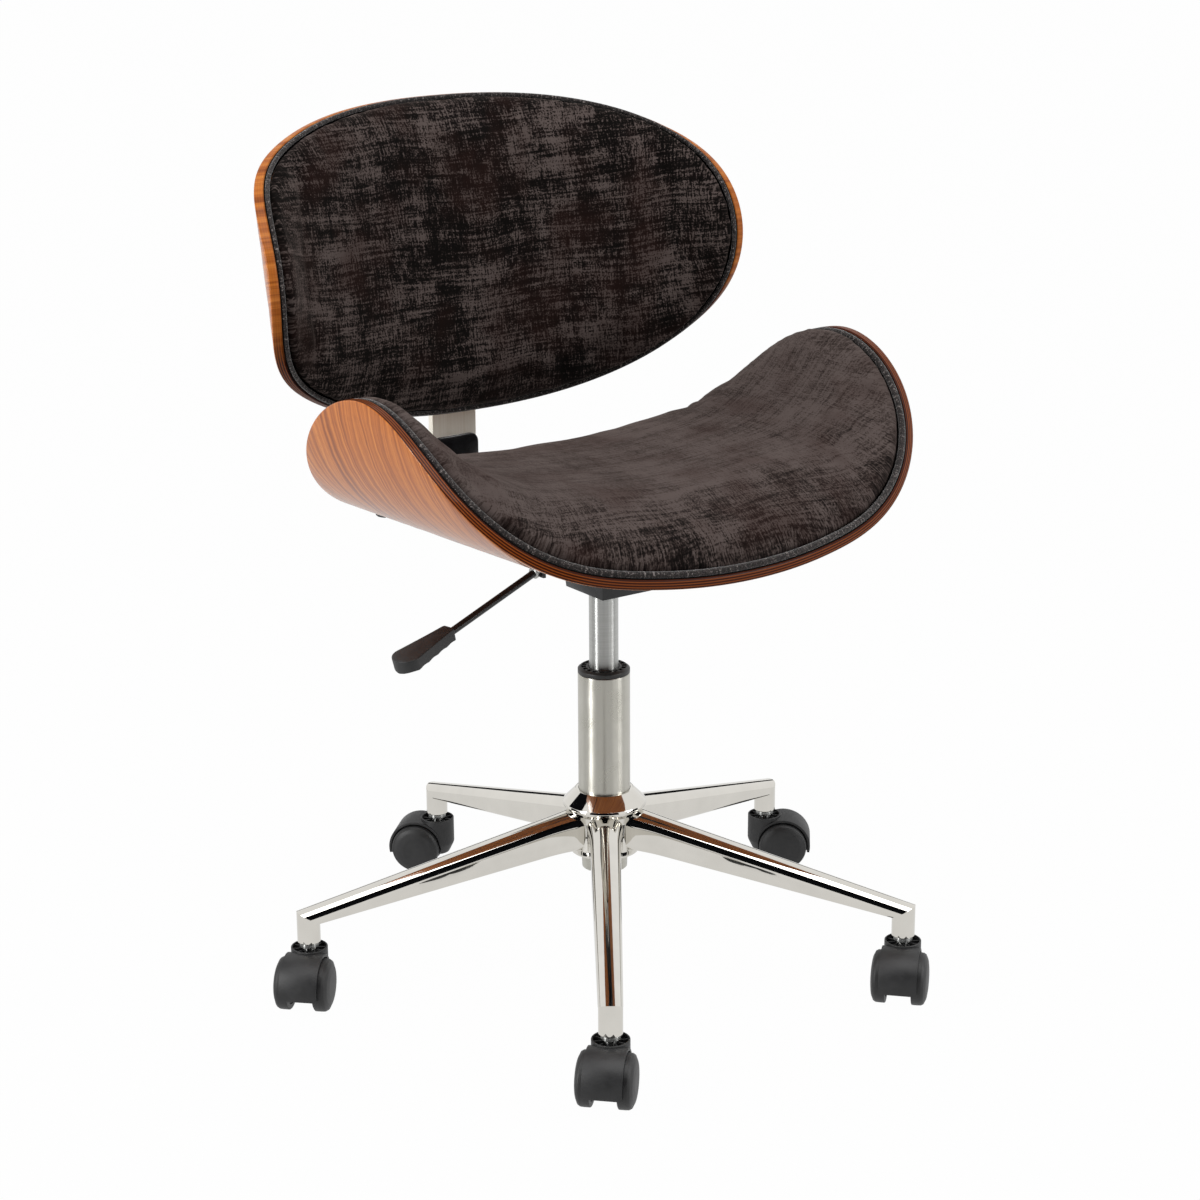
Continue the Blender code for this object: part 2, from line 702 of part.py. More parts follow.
# Piston rod with its piston, thrust bearing and retaining clip
piston_radius = CYLINDER_RADIUS - CYLINDER_WALL - SLIP
rod_bottom = TUBE_BOTTOM - GAP - CLIP_THICKNESS - 0.0030
piston_profile = [(0, PISTON_BOTTOM + PISTON_HEIGHT), (piston_radius, PISTON_BOTTOM + PISTON_HEIGHT),
                  (piston_radius, PISTON_BOTTOM), (ROD_RADIUS, PISTON_BOTTOM),
                  (ROD_RADIUS, rod_bottom + 0.0010), (ROD_RADIUS - 0.0010, rod_bottom),
                  (0, rod_bottom)]
place("piston_rod", turned("piston_rod", piston_profile, 24), "satin_steel", COLUMN)


def washer(name, inner, outer, low, high, steps=24):
    profile = [(outer, high), (outer, low), (inner, low), (inner, high)]
    return turned(name, profile, steps, ring=True)


bearing_low = TUBE_BOTTOM + TUBE_FLOOR + GAP
place("thrust_bearing", washer("thrust_bearing", ROD_RADIUS + GAP, inner_low - 0.0012,
                               bearing_low, bearing_low + BEARING_HEIGHT), "dark_steel", COLUMN)
clip_top = TUBE_BOTTOM - GAP
place("retaining_clip", washer("retaining_clip", ROD_RADIUS + GAP, CLIP_RADIUS,
                               clip_top - CLIP_THICKNESS, clip_top), "dark_steel", COLUMN)

# Pressure cylinder, whose taper wedges into the mechanism
cylinder_top = SEAT_Z - CYLINDER_BELOW_SEAT
cylinder_wedge = CYLINDER_RADIUS - CYLINDER_TAPER
cavity_radius = CYLINDER_RADIUS - CYLINDER_WALL
cavity_top = cylinder_top - CYLINDER_HEAD
pin_bore = PIN_RADIUS + SLIP
lever_fall = math.tan(LEVER_SLOPE)
lever_rise = LEVER_BEND * lever_fall
pin_top = LEVER_Z + lever_rise - LEVER_RADIUS - GAP
pin_bore_end = pin_top - PIN_LENGTH - PIN_BORE_SPARE
cylinder_profile = [(0, cylinder_top), (cylinder_wedge - 0.0010, cylinder_top),
                    (cylinder_wedge, cylinder_top - 0.0010),
                    (CYLINDER_RADIUS, cylinder_top - CYLINDER_TAPER_LENGTH),
                    (CYLINDER_RADIUS, CYLINDER_BOTTOM),
                    (ROD_RADIUS + SLIP, CYLINDER_BOTTOM),
                    (ROD_RADIUS + SLIP, CYLINDER_BOTTOM + CYLINDER_CAP),
                    (cavity_radius, CYLINDER_BOTTOM + CYLINDER_CAP),
                    (cavity_radius, cavity_top), (0, cavity_top)]
pin_hole = rod("pin_hole", pin_bore, pin_bore_end, cylinder_top + 0.01, steps=24)
cylinder = place("gas_cylinder", turned("gas_cylinder", cylinder_profile, 28), "satin_steel", COLUMN)
combine(cylinder, cutter(pin_hole, COLUMN))

# Valve pin, pressed by the lever
pin_profile = [(0, pin_top), (PIN_RADIUS - 0.0010, pin_top), (PIN_RADIUS, pin_top - 0.0010),
               (PIN_RADIUS, pin_top - PIN_LENGTH), (0, pin_top - PIN_LENGTH)]
place("valve_pin", turned("valve_pin", pin_profile, 12), "dark_steel", COLUMN)


def seat_under(y):
    """Height of the ply's underside in the middle of the seat, at y from the column axis."""
    along = (y - SEAT_Y + PLY * math.sin(SEAT_PITCH)) / math.cos(SEAT_PITCH)
    return SEAT_Z - along * math.sin(SEAT_PITCH) - PLY * math.cos(SEAT_PITCH)


# Seat shell, its upholstery and the welt between them
seat_sizes = (SEAT_HALF_LENGTH, SEAT_FRONT, SEAT_REAR)
seat_shell = place("seat_shell", ply_shell("seat_shell", seat_point, *seat_sizes, SEAT_POWERS),
                   "walnut", SEAT_FRAME)
add_ply(seat_shell)
seat_cage = cushion("seat_pad", seat_point, seat_sizes, SEAT_POWERS, SEAT_CROWN, SEAT_WING_CROWN,
                    SEAT_PAD_EDGE, SEAT_CROWN_POWERS, SEAT_PAD_INSET, SEAT_PIPING_RADIUS)
add_softness(place("seat_pad", seat_cage, "velvet", SEAT_FRAME))
place("seat_piping", piping_curve("seat_piping", seat_point, seat_sizes, SEAT_POWERS,
                                  SEAT_PIPING_RADIUS), "welt", SEAT_FRAME)

# Back shell, its upholstery and welt
back_sizes = (BACK_HALF_LENGTH, BACK_BOTTOM, BACK_TOP)
back_shell = place("back_shell", ply_shell("back_shell", back_point, *back_sizes, BACK_POWERS),
                   "walnut", BACK_FRAME)
add_ply(back_shell)
back_cage = cushion("back_pad", back_point, back_sizes, BACK_POWERS, BACK_CROWN, BACK_WING_CROWN,
                    BACK_PAD_EDGE, BACK_CROWN_POWERS, BACK_PAD_INSET, BACK_PIPING_RADIUS)
add_softness(place("back_pad", back_cage, "velvet", BACK_FRAME))
place("back_piping", piping_curve("back_piping", back_point, back_sizes, BACK_POWERS,
                                  BACK_PIPING_RADIUS), "welt", BACK_FRAME)

# Seat plate, which lies along the ply's underside and carries a lug for the lever
plate_top = -PLY - GAP
plate_low = plate_top - PLATE_THICKNESS
plate_front = PLATE_FRONT - SEAT_Y
plate_rear = PLATE_REAR - SEAT_Y
ear_low = LEVER_Y - LUG_HALF_WIDTH - SEAT_Y
ear_high = LEVER_Y + LUG_HALF_WIDTH - SEAT_Y
ear_x = LUG_X - LUG_THICKNESS / 2
plate_outline = [(-PLATE_HALF_WIDTH, plate_front), (PLATE_HALF_WIDTH, plate_front),
                 (PLATE_HALF_WIDTH, plate_rear), (-PLATE_HALF_WIDTH, plate_rear),
                 (-PLATE_HALF_WIDTH, ear_high), (ear_x, ear_high),
                 (ear_x, ear_low), (-PLATE_HALF_WIDTH, ear_low)]
plate = place("seat_plate", slab("seat_plate", plate_outline, plate_low, plate_top, "Z"),
              "black_paint", SEAT_FRAME)
lug_bottom = LEVER_Z - LUG_DROP - SEAT_Z
lug = box("lug", (ear_x, ear_low, lug_bottom), (ear_x + LUG_THICKNESS, ear_high, plate_low + 0.001))
combine(plate, cutter(lug, SEAT_FRAME), "UNION")
lug_hole = rod("lug_hole", LEVER_RADIUS + LUG_CLEARANCE, ear_x - 0.01, ear_x + 0.01, "X", 16)
combine(plate, cutter(lug_hole, COLUMN, (0, LEVER_Y, LEVER_Z)))


# Mechanism housing: a folded tray with the column's socket welded in
def housing_roof(y):
    """Height of the housing's open top, just under the plate."""
    return seat_under(y) - 2 * GAP - PLATE_THICKNESS / math.cos(SEAT_PITCH)


def housing_outline(wall):
    """Side view of the housing, drawn in by a wall."""
    lift = 0.0 if wall == 0 else 0.01
    return [(HOUSING_FRONT + wall, housing_roof(HOUSING_FRONT) + lift),
            (HOUSING_FRONT + wall, HOUSING_BOTTOM + wall),
            (HOUSING_KNEE - wall, HOUSING_BOTTOM + wall),
            (HOUSING_KNEE + HOUSING_STEP_RUN - wall, HOUSING_BOTTOM + HOUSING_STEP + wall),
            (HOUSING_REAR - wall, HOUSING_BOTTOM + HOUSING_REAR_RISE + wall),
            (HOUSING_REAR - wall, housing_roof(HOUSING_REAR) + lift)]


inside = HOUSING_HALF_WIDTH - HOUSING_WALL
housing = place("mechanism_housing",
                slab("mechanism_housing", housing_outline(0.0), -HOUSING_HALF_WIDTH,
                     HOUSING_HALF_WIDTH, "X"), "black_paint", COLUMN)
combine(housing, cutter(slab("tray", housing_outline(HOUSING_WALL), -inside, inside, "X"), COLUMN))
socket_outer = CYLINDER_RADIUS + GAP + COLUMN_SOCKET_WALL
socket_body = rod("socket_body", socket_outer, HOUSING_BOTTOM - 0.001, cylinder_top - 0.002,
                  steps=32)
combine(housing, cutter(socket_body, COLUMN), "UNION")
wedge_top = (cylinder_wedge + GAP, cylinder_top - 0.0010)
wedge_low = (CYLINDER_RADIUS + GAP, cylinder_top - CYLINDER_TAPER_LENGTH)
wedge = turned("wedge", [(0, wedge_top[1] + 0.02), (wedge_top[0], wedge_top[1] + 0.02), wedge_top,
                         wedge_low, (wedge_low[0], HOUSING_BOTTOM - 0.02),
                         (0, HOUSING_BOTTOM - 0.02)], 32)
combine(housing, cutter(wedge, COLUMN))
slot_y = HOUSING_HALF_WIDTH * LEVER_Y / -LUG_X
slot_half = LEVER_RADIUS + SLOT_CLEARANCE
slot_z = LEVER_Z + lever_rise
slot = box("slot", (-HOUSING_HALF_WIDTH - 0.01, slot_y - slot_half, slot_z - slot_half - SLOT_SWING),
           (-HOUSING_HALF_WIDTH + 0.01, slot_y + slot_half, slot_z + slot_half))
combine(housing, cutter(slot, COLUMN))

# Lever: a bent rod through the lug, with a paddle at its outer end
lever_yaw = math.atan2(-LEVER_Y, -LUG_X)
LEVER_PIVOT = empty("lever_pivot", COLUMN, (LUG_X, LEVER_Y, LEVER_Z), (0, 0, lever_yaw))
inner_reach = math.hypot(LUG_X, LEVER_Y) + LEVER_PAST_PIN
collar_share = LEVER_COLLAR_RADIUS / LEVER_RADIUS
collar_tilt = math.hypot(LEVER_SLOPE, lever_yaw)
collar_start = -LUG_THICKNESS / 2 - LEVER_COLLAR_RADIUS * math.sin(collar_tilt) - LUG_CLEARANCE
collar_end = collar_start - LEVER_COLLAR_LENGTH
rod_end_x = -LEVER_OUTER_LENGTH - PADDLE_GRIP
rod_end_z = -LEVER_OUTER_LENGTH * lever_fall
lever_line = [(inner_reach, lever_rise, 1.0), (LEVER_BEND + 0.004, lever_rise, 1.0),
              (LEVER_BEND - 0.003, (LEVER_BEND - 0.003) * lever_fall, 1.0)]
for x, swell in ((collar_start, 1.0), (collar_start - 0.0001, collar_share),
                 (collar_end, collar_share), (collar_end - 0.0001, 1.0)):
    lever_line.append((x, x * lever_fall, swell))
lever_line.append((-LEVER_OUTER_LENGTH, rod_end_z, 1.0))
lever_line.append((rod_end_x, rod_end_z - PADDLE_GRIP * math.tan(PADDLE_SLOPE), 1.0))
lever_curve = bpy.data.curves.new("lever_rod", "CURVE")
lever_curve.dimensions = "3D"
lever_curve.bevel_depth = LEVER_RADIUS
lever_curve.bevel_resolution = 2
lever_curve.use_fill_caps = True
lever_spline = lever_curve.splines.new("POLY")
lever_spline.points.add(len(lever_line) - 1)
for point, (x, z, swell) in zip(lever_spline.points, lever_line):
    point.co = (x, 0.0, z, 1.0)
    point.radius = swell
place("lever_rod", lever_curve, "black_paint", LEVER_PIVOT)


def paddle_section(share, half_width):
    """Rounded section of the paddle at a share of its length."""
    x = -LEVER_OUTER_LENGTH - PADDLE_LENGTH * share
    middle = rod_end_z - PADDLE_LENGTH * share * math.tan(PADDLE_SLOPE)
    half = PADDLE_THICKNESS / 2
    waist = half * (0.45 if share in (0.0, 1.0) else 1.0)
    return [(x, y * half_width, middle + z * waist)
            for y, z in ((-0.80, -1.0), (0.80, -1.0), (1.0, -0.55), (1.0, 0.55), (0.80, 1.0),
                         (-0.80, 1.0), (-1.0, 0.55), (-1.0, -0.55))]


paddle_widths = [(0.0, PADDLE_NARROW * 0.8), (0.05, PADDLE_NARROW), (0.35, PADDLE_MIDDLE),
                 (0.70, PADDLE_WIDE * 0.94), (0.84, PADDLE_WIDE), (0.94, PADDLE_WIDE * 0.85),
                 (1.0, PADDLE_WIDE * 0.5)]
paddle = place("lever_paddle", loft("lever_paddle", [paddle_section(*row) for row in paddle_widths]),
               "black_nylon", LEVER_PIVOT)
grip_start = Vector((-LEVER_OUTER_LENGTH, 0, rod_end_z))
grip_end = Vector((rod_end_x, 0, rod_end_z - PADDLE_GRIP * math.tan(PADDLE_SLOPE)))
grip = grip_end - grip_start
grip_length = grip.length
grip_bore = rod("grip_bore", LEVER_RADIUS + SLIP, -0.02, grip_length + 2 * GAP, "Z", 16)
grip_bore.transform(Matrix.Translation(grip_start) @ grip.to_track_quat("Z", "Y").to_matrix().to_4x4())
combine(paddle, cutter(grip_bore, LEVER_PIVOT))

# Back bar: under the seat, up behind it, and back along the back's ply
bar_half = BAR_THICKNESS / 2
plate_under = PLATE_THICKNESS + 2 * GAP + bar_half
upright_y = BAR_FACE_Y + bar_half


def bar_line(y):
    """Height of the bar's middle under the seat."""
    return seat_under(y) - plate_under / math.cos(SEAT_PITCH)


def back_rear(v, off):
    """Place in the YZ plane behind the back's ply, v up along it and off behind it."""
    return (BACK_Y + v * math.sin(BACK_LEAN) + (PLY + off) * math.cos(BACK_LEAN),
            BACK_Z + v * math.cos(BACK_LEAN) - (PLY + off) * math.sin(BACK_LEAN))


top_place = back_rear(BAR_TOP_ON_BACK, GAP + bar_half)
kink_z = top_place[1] - (top_place[0] - upright_y) / math.tan(BACK_LEAN)
bar_corners = [(BAR_FRONT, bar_line(BAR_FRONT)), (upright_y, bar_line(upright_y)),
               (upright_y, kink_z), top_place]
bar_path = rounded_path(bar_corners, (BAR_BEND, BAR_KINK))
back_bar = place("back_bar", strip("back_bar", bar_path, BAR_WIDTH / 2, bar_half), "chrome", COLUMN)
sleeve_corners = [(SLEEVE_START, bar_line(SLEEVE_START)), bar_corners[1], (upright_y, SLEEVE_TOP)]
sleeve_path = rounded_path(sleeve_corners, (BAR_BEND,))
sleeve = place("bar_sleeve", strip("bar_sleeve", sleeve_path, BAR_WIDTH / 2 + SLEEVE_WALL,
                                   bar_half + SLEEVE_WALL), "black_nylon", COLUMN)
round_off = sleeve.modifiers.new("rounded", "BEVEL")
round_off.width = SLEEVE_ROUNDING
round_off.segments = 1
round_off.limit_method = "ANGLE"
round_off.angle_limit = math.radians(60)
combine(sleeve, cutter(strip("bar_space", bar_path, BAR_WIDTH / 2 + GAP, bar_half + GAP), COLUMN))


def bolt_mesh(name, length):
    """Button-head bolt along Z, with its head's face at the origin and its shank upward."""
    head = [(0, length), (BOLT_RADIUS, length), (BOLT_RADIUS, 0.0), (BOLT_HEAD_RADIUS, 0.0),
            (BOLT_HEAD_RADIUS, -BOLT_HEAD_HEIGHT * 0.45),
            (BOLT_HEAD_RADIUS * 0.62, -BOLT_HEAD_HEIGHT), (0, -BOLT_HEAD_HEIGHT)]
    return turned(name, head, 12)


def bore_through(item, frame, location, length):
    """Cut a bolt's clearance hole, which starts at a place in a frame and runs along its Z."""
    hole = rod("hole", BOLT_RADIUS + GAP, -HOLE_SPARE, length + HOLE_SPARE, steps=12)
    combine(item, cutter(hole, frame, location))


# Seat bolts, from under the plate into the ply
bolt_into_ply = PLATE_THICKNESS + GAP + PLY
plate_bolt = bolt_mesh("seat_bolt", bolt_into_ply)
bolt_places = [(x, y) for y in SEAT_BOLT_YS for x in (-SEAT_BOLT_X, SEAT_BOLT_X)]
for number, (x, y) in enumerate(bolt_places, 1):
    spot = (x, y - SEAT_Y, plate_low - GAP)
    place(f"seat_bolt_{number}", plate_bolt, "dark_steel", SEAT_FRAME, spot)
    bore_through(plate, SEAT_FRAME, spot, bolt_into_ply)
    bore_through(seat_shell, SEAT_FRAME, spot, bolt_into_ply)

# Bar bolts, from under the bar
bolt_through_bar = BAR_THICKNESS + GAP + bolt_into_ply
bar_bolt = bolt_mesh("bar_bolt", bolt_through_bar)
bar_low = plate_low - GAP - BAR_THICKNESS
for number, y in enumerate(BAR_BOLT_YS, 1):
    spot = (0, y - SEAT_Y, bar_low - GAP)
    place(f"bar_bolt_{number}", bar_bolt, "dark_steel", SEAT_FRAME, spot)
    for item in (back_bar, plate, seat_shell):
        bore_through(item, SEAT_FRAME, spot, bolt_through_bar)

# Cap screws that hold the pad's edge to the ply, near the rear corners
cap_along = SEAT_HALF_LENGTH * CAP_SCREW_SHARE
cap_across, cap_rise = on_bend(cap_along, -PLY - GAP, SEAT_BEND, SEAT_TABLE)
cap_angle = tangent_angle(cap_along, SEAT_BEND)
cap_profile = [(0, PLY), (CAP_SCREW_SHANK, PLY), (CAP_SCREW_SHANK, 0), (CAP_SCREW_RADIUS, 0),
               (CAP_SCREW_RADIUS, -CAP_SCREW_HEIGHT * 0.35),
               (CAP_SCREW_RADIUS * 0.80, -CAP_SCREW_HEIGHT * 0.80), (0, -CAP_SCREW_HEIGHT)]
cap_mesh = turned("cap_screw", cap_profile, 12)
for name, side in (("left", 1), ("right", -1)):
    spot = (side * cap_across, SEAT_REAR - CAP_SCREW_FROM_REAR, cap_rise)
    tilt = (0, -side * cap_angle, 0)
    place(f"cap_screw_{name}", cap_mesh, "black_nylon", SEAT_FRAME, spot, tilt)
    hole = rod("hole", CAP_SCREW_SHANK + GAP, -HOLE_SPARE, PLY + HOLE_SPARE, steps=12)
    combine(seat_shell, cutter(hole, SEAT_FRAME, spot, tilt))

# Back bolts, from behind the bar into the back's ply
bolt_into_back = BAR_THICKNESS + GAP + PLY
back_bolt = bolt_mesh("back_bolt", bolt_into_back)
for number, height in enumerate(BACK_BOLT_HEIGHTS, 1):
    spot = (0, PLY + 2 * GAP + BAR_THICKNESS, height)
    facing = (math.pi / 2, 0, 0)
    place(f"back_bolt_{number}", back_bolt, "dark_steel", BACK_FRAME, spot, facing)
    for item in (back_bar, back_shell):
        hole = rod("hole", BOLT_RADIUS + GAP, -HOLE_SPARE, bolt_into_back + HOLE_SPARE, steps=12)
        combine(item, cutter(hole, BACK_FRAME, spot, facing))


def hood_outline():
    """Side view of the caster's hood: x along the trail from the stem, z up."""
    axle = (CASTER_TRAIL, WHEEL_RADIUS)
    points = arc(axle, HOOD_RADIUS, HOOD_TIP_ANGLE, 84, 7)
    points += [(BOSS_RADIUS, HOOD_TOP - 0.0008), (BOSS_RADIUS - 0.0010, HOOD_TOP),
               (-BOSS_RADIUS + 0.0010, HOOD_TOP), (-BOSS_RADIUS, HOOD_TOP - 0.0010),
               (-BOSS_RADIUS, 0.0270), (-BOSS_RADIUS + 0.0035, 0.0185), (-0.0035, 0.0130)]
    points += [(CASTER_TRAIL - 0.006, 0.0150), (CASTER_TRAIL + 0.008, 0.0165)]
    points.append((CASTER_TRAIL + HOOD_POCKET_RADIUS * math.cos(math.radians(HOOD_TIP_ANGLE)),
                   WHEEL_RADIUS + HOOD_POCKET_RADIUS * math.sin(math.radians(HOOD_TIP_ANGLE))))
    return points


def hood_mesh():
    """Caster hood: a full-width block with a pocket for each wheel."""
    body = slab("caster_hood", hood_outline(), -HOOD_HALF_WIDTH, HOOD_HALF_WIDTH)
    item = bpy.data.objects.new("hood", body)
    CUTTERS.objects.link(item)
    web = WHEEL_INNER_FACE - SLIP
    for low, high in ((web, 0.03), (-0.03, -web)):
        pocket = rod("pocket", HOOD_POCKET_RADIUS, low, high, "Y", WHEEL_STEPS)
        combine(item, cutter(pocket, location=(CASTER_TRAIL, 0, WHEEL_RADIUS)))
    axle_bore = rod("axle_bore", AXLE_RADIUS + GAP, -0.02, 0.02, "Y", 12)
    combine(item, cutter(axle_bore, location=(CASTER_TRAIL, 0, WHEEL_RADIUS)))
    stem_bore = rod("stem_bore", STEM_RADIUS + GAP, HOOD_TOP - STEM_LENGTH_IN_HOOD - GAP,
                    HOOD_TOP + 0.01, steps=12)
    combine(item, cutter(stem_bore))
    return baked(item, "caster_hood")


def wheel_mesh():
    """Twin wheel, turned about Z, with a facet for the floor and a blind axle bore."""
    half_step = math.pi / WHEEL_STEPS
    rim = WHEEL_RADIUS / math.cos(half_step)
    bore = AXLE_RADIUS + SLIP
    bore_end = AXLE_HALF_LENGTH + SLIP
    profile = [(0, WHEEL_OUTER_FACE), (rim * 0.72, WHEEL_OUTER_FACE - 0.0014),
               (rim, WHEEL_OUTER_FACE - 0.0070),
               (rim, WHEEL_INNER_FACE + 0.0010), (rim - 0.0010, WHEEL_INNER_FACE),
               (bore, WHEEL_INNER_FACE), (bore, bore_end), (0, bore_end)]
    return turned("caster_wheel", profile, WHEEL_STEPS, turn=half_step)


def stem_mesh():
    """Caster stem: up into the leg's socket, down into the hood, with a collar between."""
    collar_top = SOCKET_BOTTOM - GAP
    collar_low = HOOD_TOP + GAP
    top = SOCKET_BOTTOM + STEM_LENGTH_IN_LEG
    low = HOOD_TOP - STEM_LENGTH_IN_HOOD
    profile = [(0, top), (STEM_RADIUS - 0.0012, top), (STEM_RADIUS, top - 0.0015),
               (STEM_RADIUS, collar_top), (STEM_COLLAR_RADIUS, collar_top - 0.0005),
               (STEM_COLLAR_RADIUS, collar_low), (STEM_RADIUS, collar_low), (STEM_RADIUS, low),
               (0, low)]
    return turned("caster_stem", profile, 12)


HOOD_MESH = hood_mesh()
WHEEL_MESH = wheel_mesh()
STEM_MESH = stem_mesh()
AXLE_MESH = rod("caster_axle", AXLE_RADIUS, -AXLE_HALF_LENGTH, AXLE_HALF_LENGTH, "Y", 12)

for index in range(LEG_COUNT):
    number = index + 1
    direction = BASE_TURN + index * 2 * math.pi / LEG_COUNT
    foot = (LEG_REACH * math.cos(direction), LEG_REACH * math.sin(direction), 0)
    swivel = empty(f"caster_{number}_swivel", COLUMN, foot, (0, 0, math.radians(CASTER_TURNS[index])))
    place(f"caster_{number}_hood", HOOD_MESH, "black_nylon", swivel)
    place(f"caster_{number}_stem", STEM_MESH, "dark_steel", swivel)
    axle_place = (CASTER_TRAIL, 0, WHEEL_RADIUS)
    place(f"caster_{number}_axle", AXLE_MESH, "dark_steel", swivel, axle_place)
    for name, lean in (("left", -math.pi / 2), ("right", math.pi / 2)):
        place(f"caster_{number}_wheel_{name}", WHEEL_MESH, "black_nylon", swivel, axle_place,
              (lean, 0, 0))
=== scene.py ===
"""Swivel desk chair with a bentwood seat and back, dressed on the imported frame."""
import math

import bmesh
import bpy
import numpy as np
from mathutils import Matrix, Vector


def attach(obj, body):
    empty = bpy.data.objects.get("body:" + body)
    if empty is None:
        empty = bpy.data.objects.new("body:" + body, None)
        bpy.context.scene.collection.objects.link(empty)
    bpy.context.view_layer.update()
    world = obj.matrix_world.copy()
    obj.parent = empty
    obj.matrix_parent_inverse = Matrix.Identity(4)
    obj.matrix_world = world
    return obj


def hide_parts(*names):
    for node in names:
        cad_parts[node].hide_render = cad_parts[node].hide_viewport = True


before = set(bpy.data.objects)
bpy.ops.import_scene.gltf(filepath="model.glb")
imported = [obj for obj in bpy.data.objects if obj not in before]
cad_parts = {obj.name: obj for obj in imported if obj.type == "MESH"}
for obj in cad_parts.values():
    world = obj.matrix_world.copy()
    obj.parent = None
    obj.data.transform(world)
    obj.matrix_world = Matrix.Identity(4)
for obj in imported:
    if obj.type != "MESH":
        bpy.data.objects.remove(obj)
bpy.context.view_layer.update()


# Base hub: a turned steel collar with a waist that the five legs are welded to, polished and
# chrome plated to a hard mirror.
COLUMN_Y = -0.026
MOUTH_RADIUS = 0.0253
hub_corners = [(MOUTH_RADIUS, 0.1782, 0), (MOUTH_RADIUS + 0.0024, 0.178, 0.0008),
               (0.0399, 0.1657, 0.0012), (0.0407, 0.1635, 0.0014), (0.0394, 0.161, 0.0016),
               (0.0340, 0.1560, 0.004), (0.0316, 0.149, 0.006), (0.0305, 0.134, 0.014),
               (0.0332, 0.1205, 0.006), (0.0341, 0.117, 0.0008), (0.0334, 0.115, 0.0008),
               (0.0242, 0.115, 0)]


def shade(code):
    """Turn a hex sRGB colour into the linear colour that a shader takes."""
    channels = [int(code[i:i + 2], 16) / 255 for i in (1, 3, 5)]
    return (*[c / 12.92 if c <= 0.04045 else ((c + 0.055) / 1.055) ** 2.4 for c in channels], 1.0)


def add_node(tree, kind, feeds=None, stops=None, **settings):
    """Add one node, set it, and feed its sockets with values or with other nodes' sockets.

    A socket goes by its name or its number: in a Map Range node 1 to 4 are the lower and upper
    end of what comes in and of what goes out, and in a Mix node 0 is the share, 6 and 7 the
    colours.
    """
    item = tree.nodes.new(kind)
    for name, value in settings.items():
        setattr(item, name, value)
    for socket, feed in (feeds or {}).items():
        if isinstance(feed, bpy.types.NodeSocket):
            tree.links.new(feed, item.inputs[socket])
        else:
            item.inputs[socket].default_value = feed
    if stops:
        ramp = item.color_ramp
        while len(ramp.elements) < len(stops):
            ramp.elements.new(0.5)
        for element, (place, colour) in zip(ramp.elements, stops):
            element.position = place
            element.color = shade(colour)
    return item


def new_finish(name, **values):
    """Start a finish with the values that are the same all over the surface."""
    finish = bpy.data.materials.new(name)
    finish.use_nodes = True
    tree = finish.node_tree
    shader = tree.nodes["Principled BSDF"]
    for socket, value in values.items():
        shader.inputs[socket.replace("_", " ")].default_value = value
    return finish, tree, shader


def dress(tree, shader, **sources):
    """Link the first output of each pattern's last node to the finish's own sockets."""
    for socket, source in sources.items():
        if isinstance(source, bpy.types.Node):
            source = source.outputs[0]
        tree.links.new(source, shader.inputs[socket.replace("_", " ")])


def eased(corners, closed=False, steps=6):
    """Round the corners of an outline; each corner is its place and its radius."""
    line = []
    for i, (x, y, radius) in enumerate(corners):
        here = Vector((x, y))
        if radius == 0 or (not closed and i in (0, len(corners) - 1)):
            line.append(here)
            continue
        back = Vector(corners[i - 1][:2]) - here
        ahead = Vector(corners[(i + 1) % len(corners)][:2]) - here
        half = back.angle(ahead) / 2
        reach = min(radius / math.tan(half), back.length * 0.49, ahead.length * 0.49)
        if reach < 0.00002:
            line.append(here)
            continue
        back.normalize()
        ahead.normalize()
        centre = here + (back + ahead).normalized() * reach / math.cos(half)
        start = here + back * reach - centre
        swing = start.angle_signed(here + ahead * reach - centre)
        for k in range(steps + 1):
            line.append(centre + Matrix.Rotation(-swing * k / steps, 2) @ start)
    return line


def skin(loops, joined=False):
    """Join a row of loops into one closed surface; a loop of one point closes an end."""
    bm = bmesh.new()
    rows = [[bm.verts.new(point) for point in loop] for loop in loops]
    pairs = list(zip(rows, rows[1:]))
    if joined:
        pairs.append((rows[-1], rows[0]))
    for first, second in pairs:
        count = max(len(first), len(second))
        for i in range(count):
            j = (i + 1) % count
            ring = [first[i % len(first)], first[j % len(first)],
                    second[j % len(second)], second[i % len(second)]]
            bm.faces.new(list(dict.fromkeys(ring)))
    for row in (rows[0], rows[-1]):
        if not joined and len(row) > 2:
            bm.faces.new(row)
    bmesh.ops.recalc_face_normals(bm, faces=bm.faces)
    return bm


def turned(profile, steps=128, joined=False):
    """Spin a profile of radius and height round an upright axis at the origin."""
    loops = []
    for radius, height in profile:
        count = 1 if radius < 1e-7 else steps
        turns = [2 * math.pi * i / steps for i in range(count)]
        loops.append([(radius * math.cos(a), radius * math.sin(a), height) for a in turns])
    return skin(loops, joined)


def plain_mesh(name, bm):
    """Turn a bmesh into a mesh and let go of it."""
    mesh = bpy.data.meshes.new(name)
    bm.to_mesh(mesh)
    bm.free()
    return mesh


def set_out(name, data):
    """Put a mesh, lamp or camera into the scene as an object."""
    item = bpy.data.objects.new(name, data)
    bpy.context.scene.collection.objects.link(item)
    return item


def fitted(name, bm, finish, body, slot, *nodes, place=None, sharp=35):
    """Make one piece from its mesh, put its place into the mesh and fix it on a body."""
    if place is not None:
        bmesh.ops.transform(bm, matrix=place, verts=bm.verts)
    mesh = plain_mesh(name, bm)
    mesh.shade_smooth()
    mesh.set_sharp_from_angle(angle=math.radians(sharp))
    piece = set_out(name, mesh)
    mesh.materials.append(finish)
    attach(piece, body)
    if nodes:
        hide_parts(*nodes)
    return piece


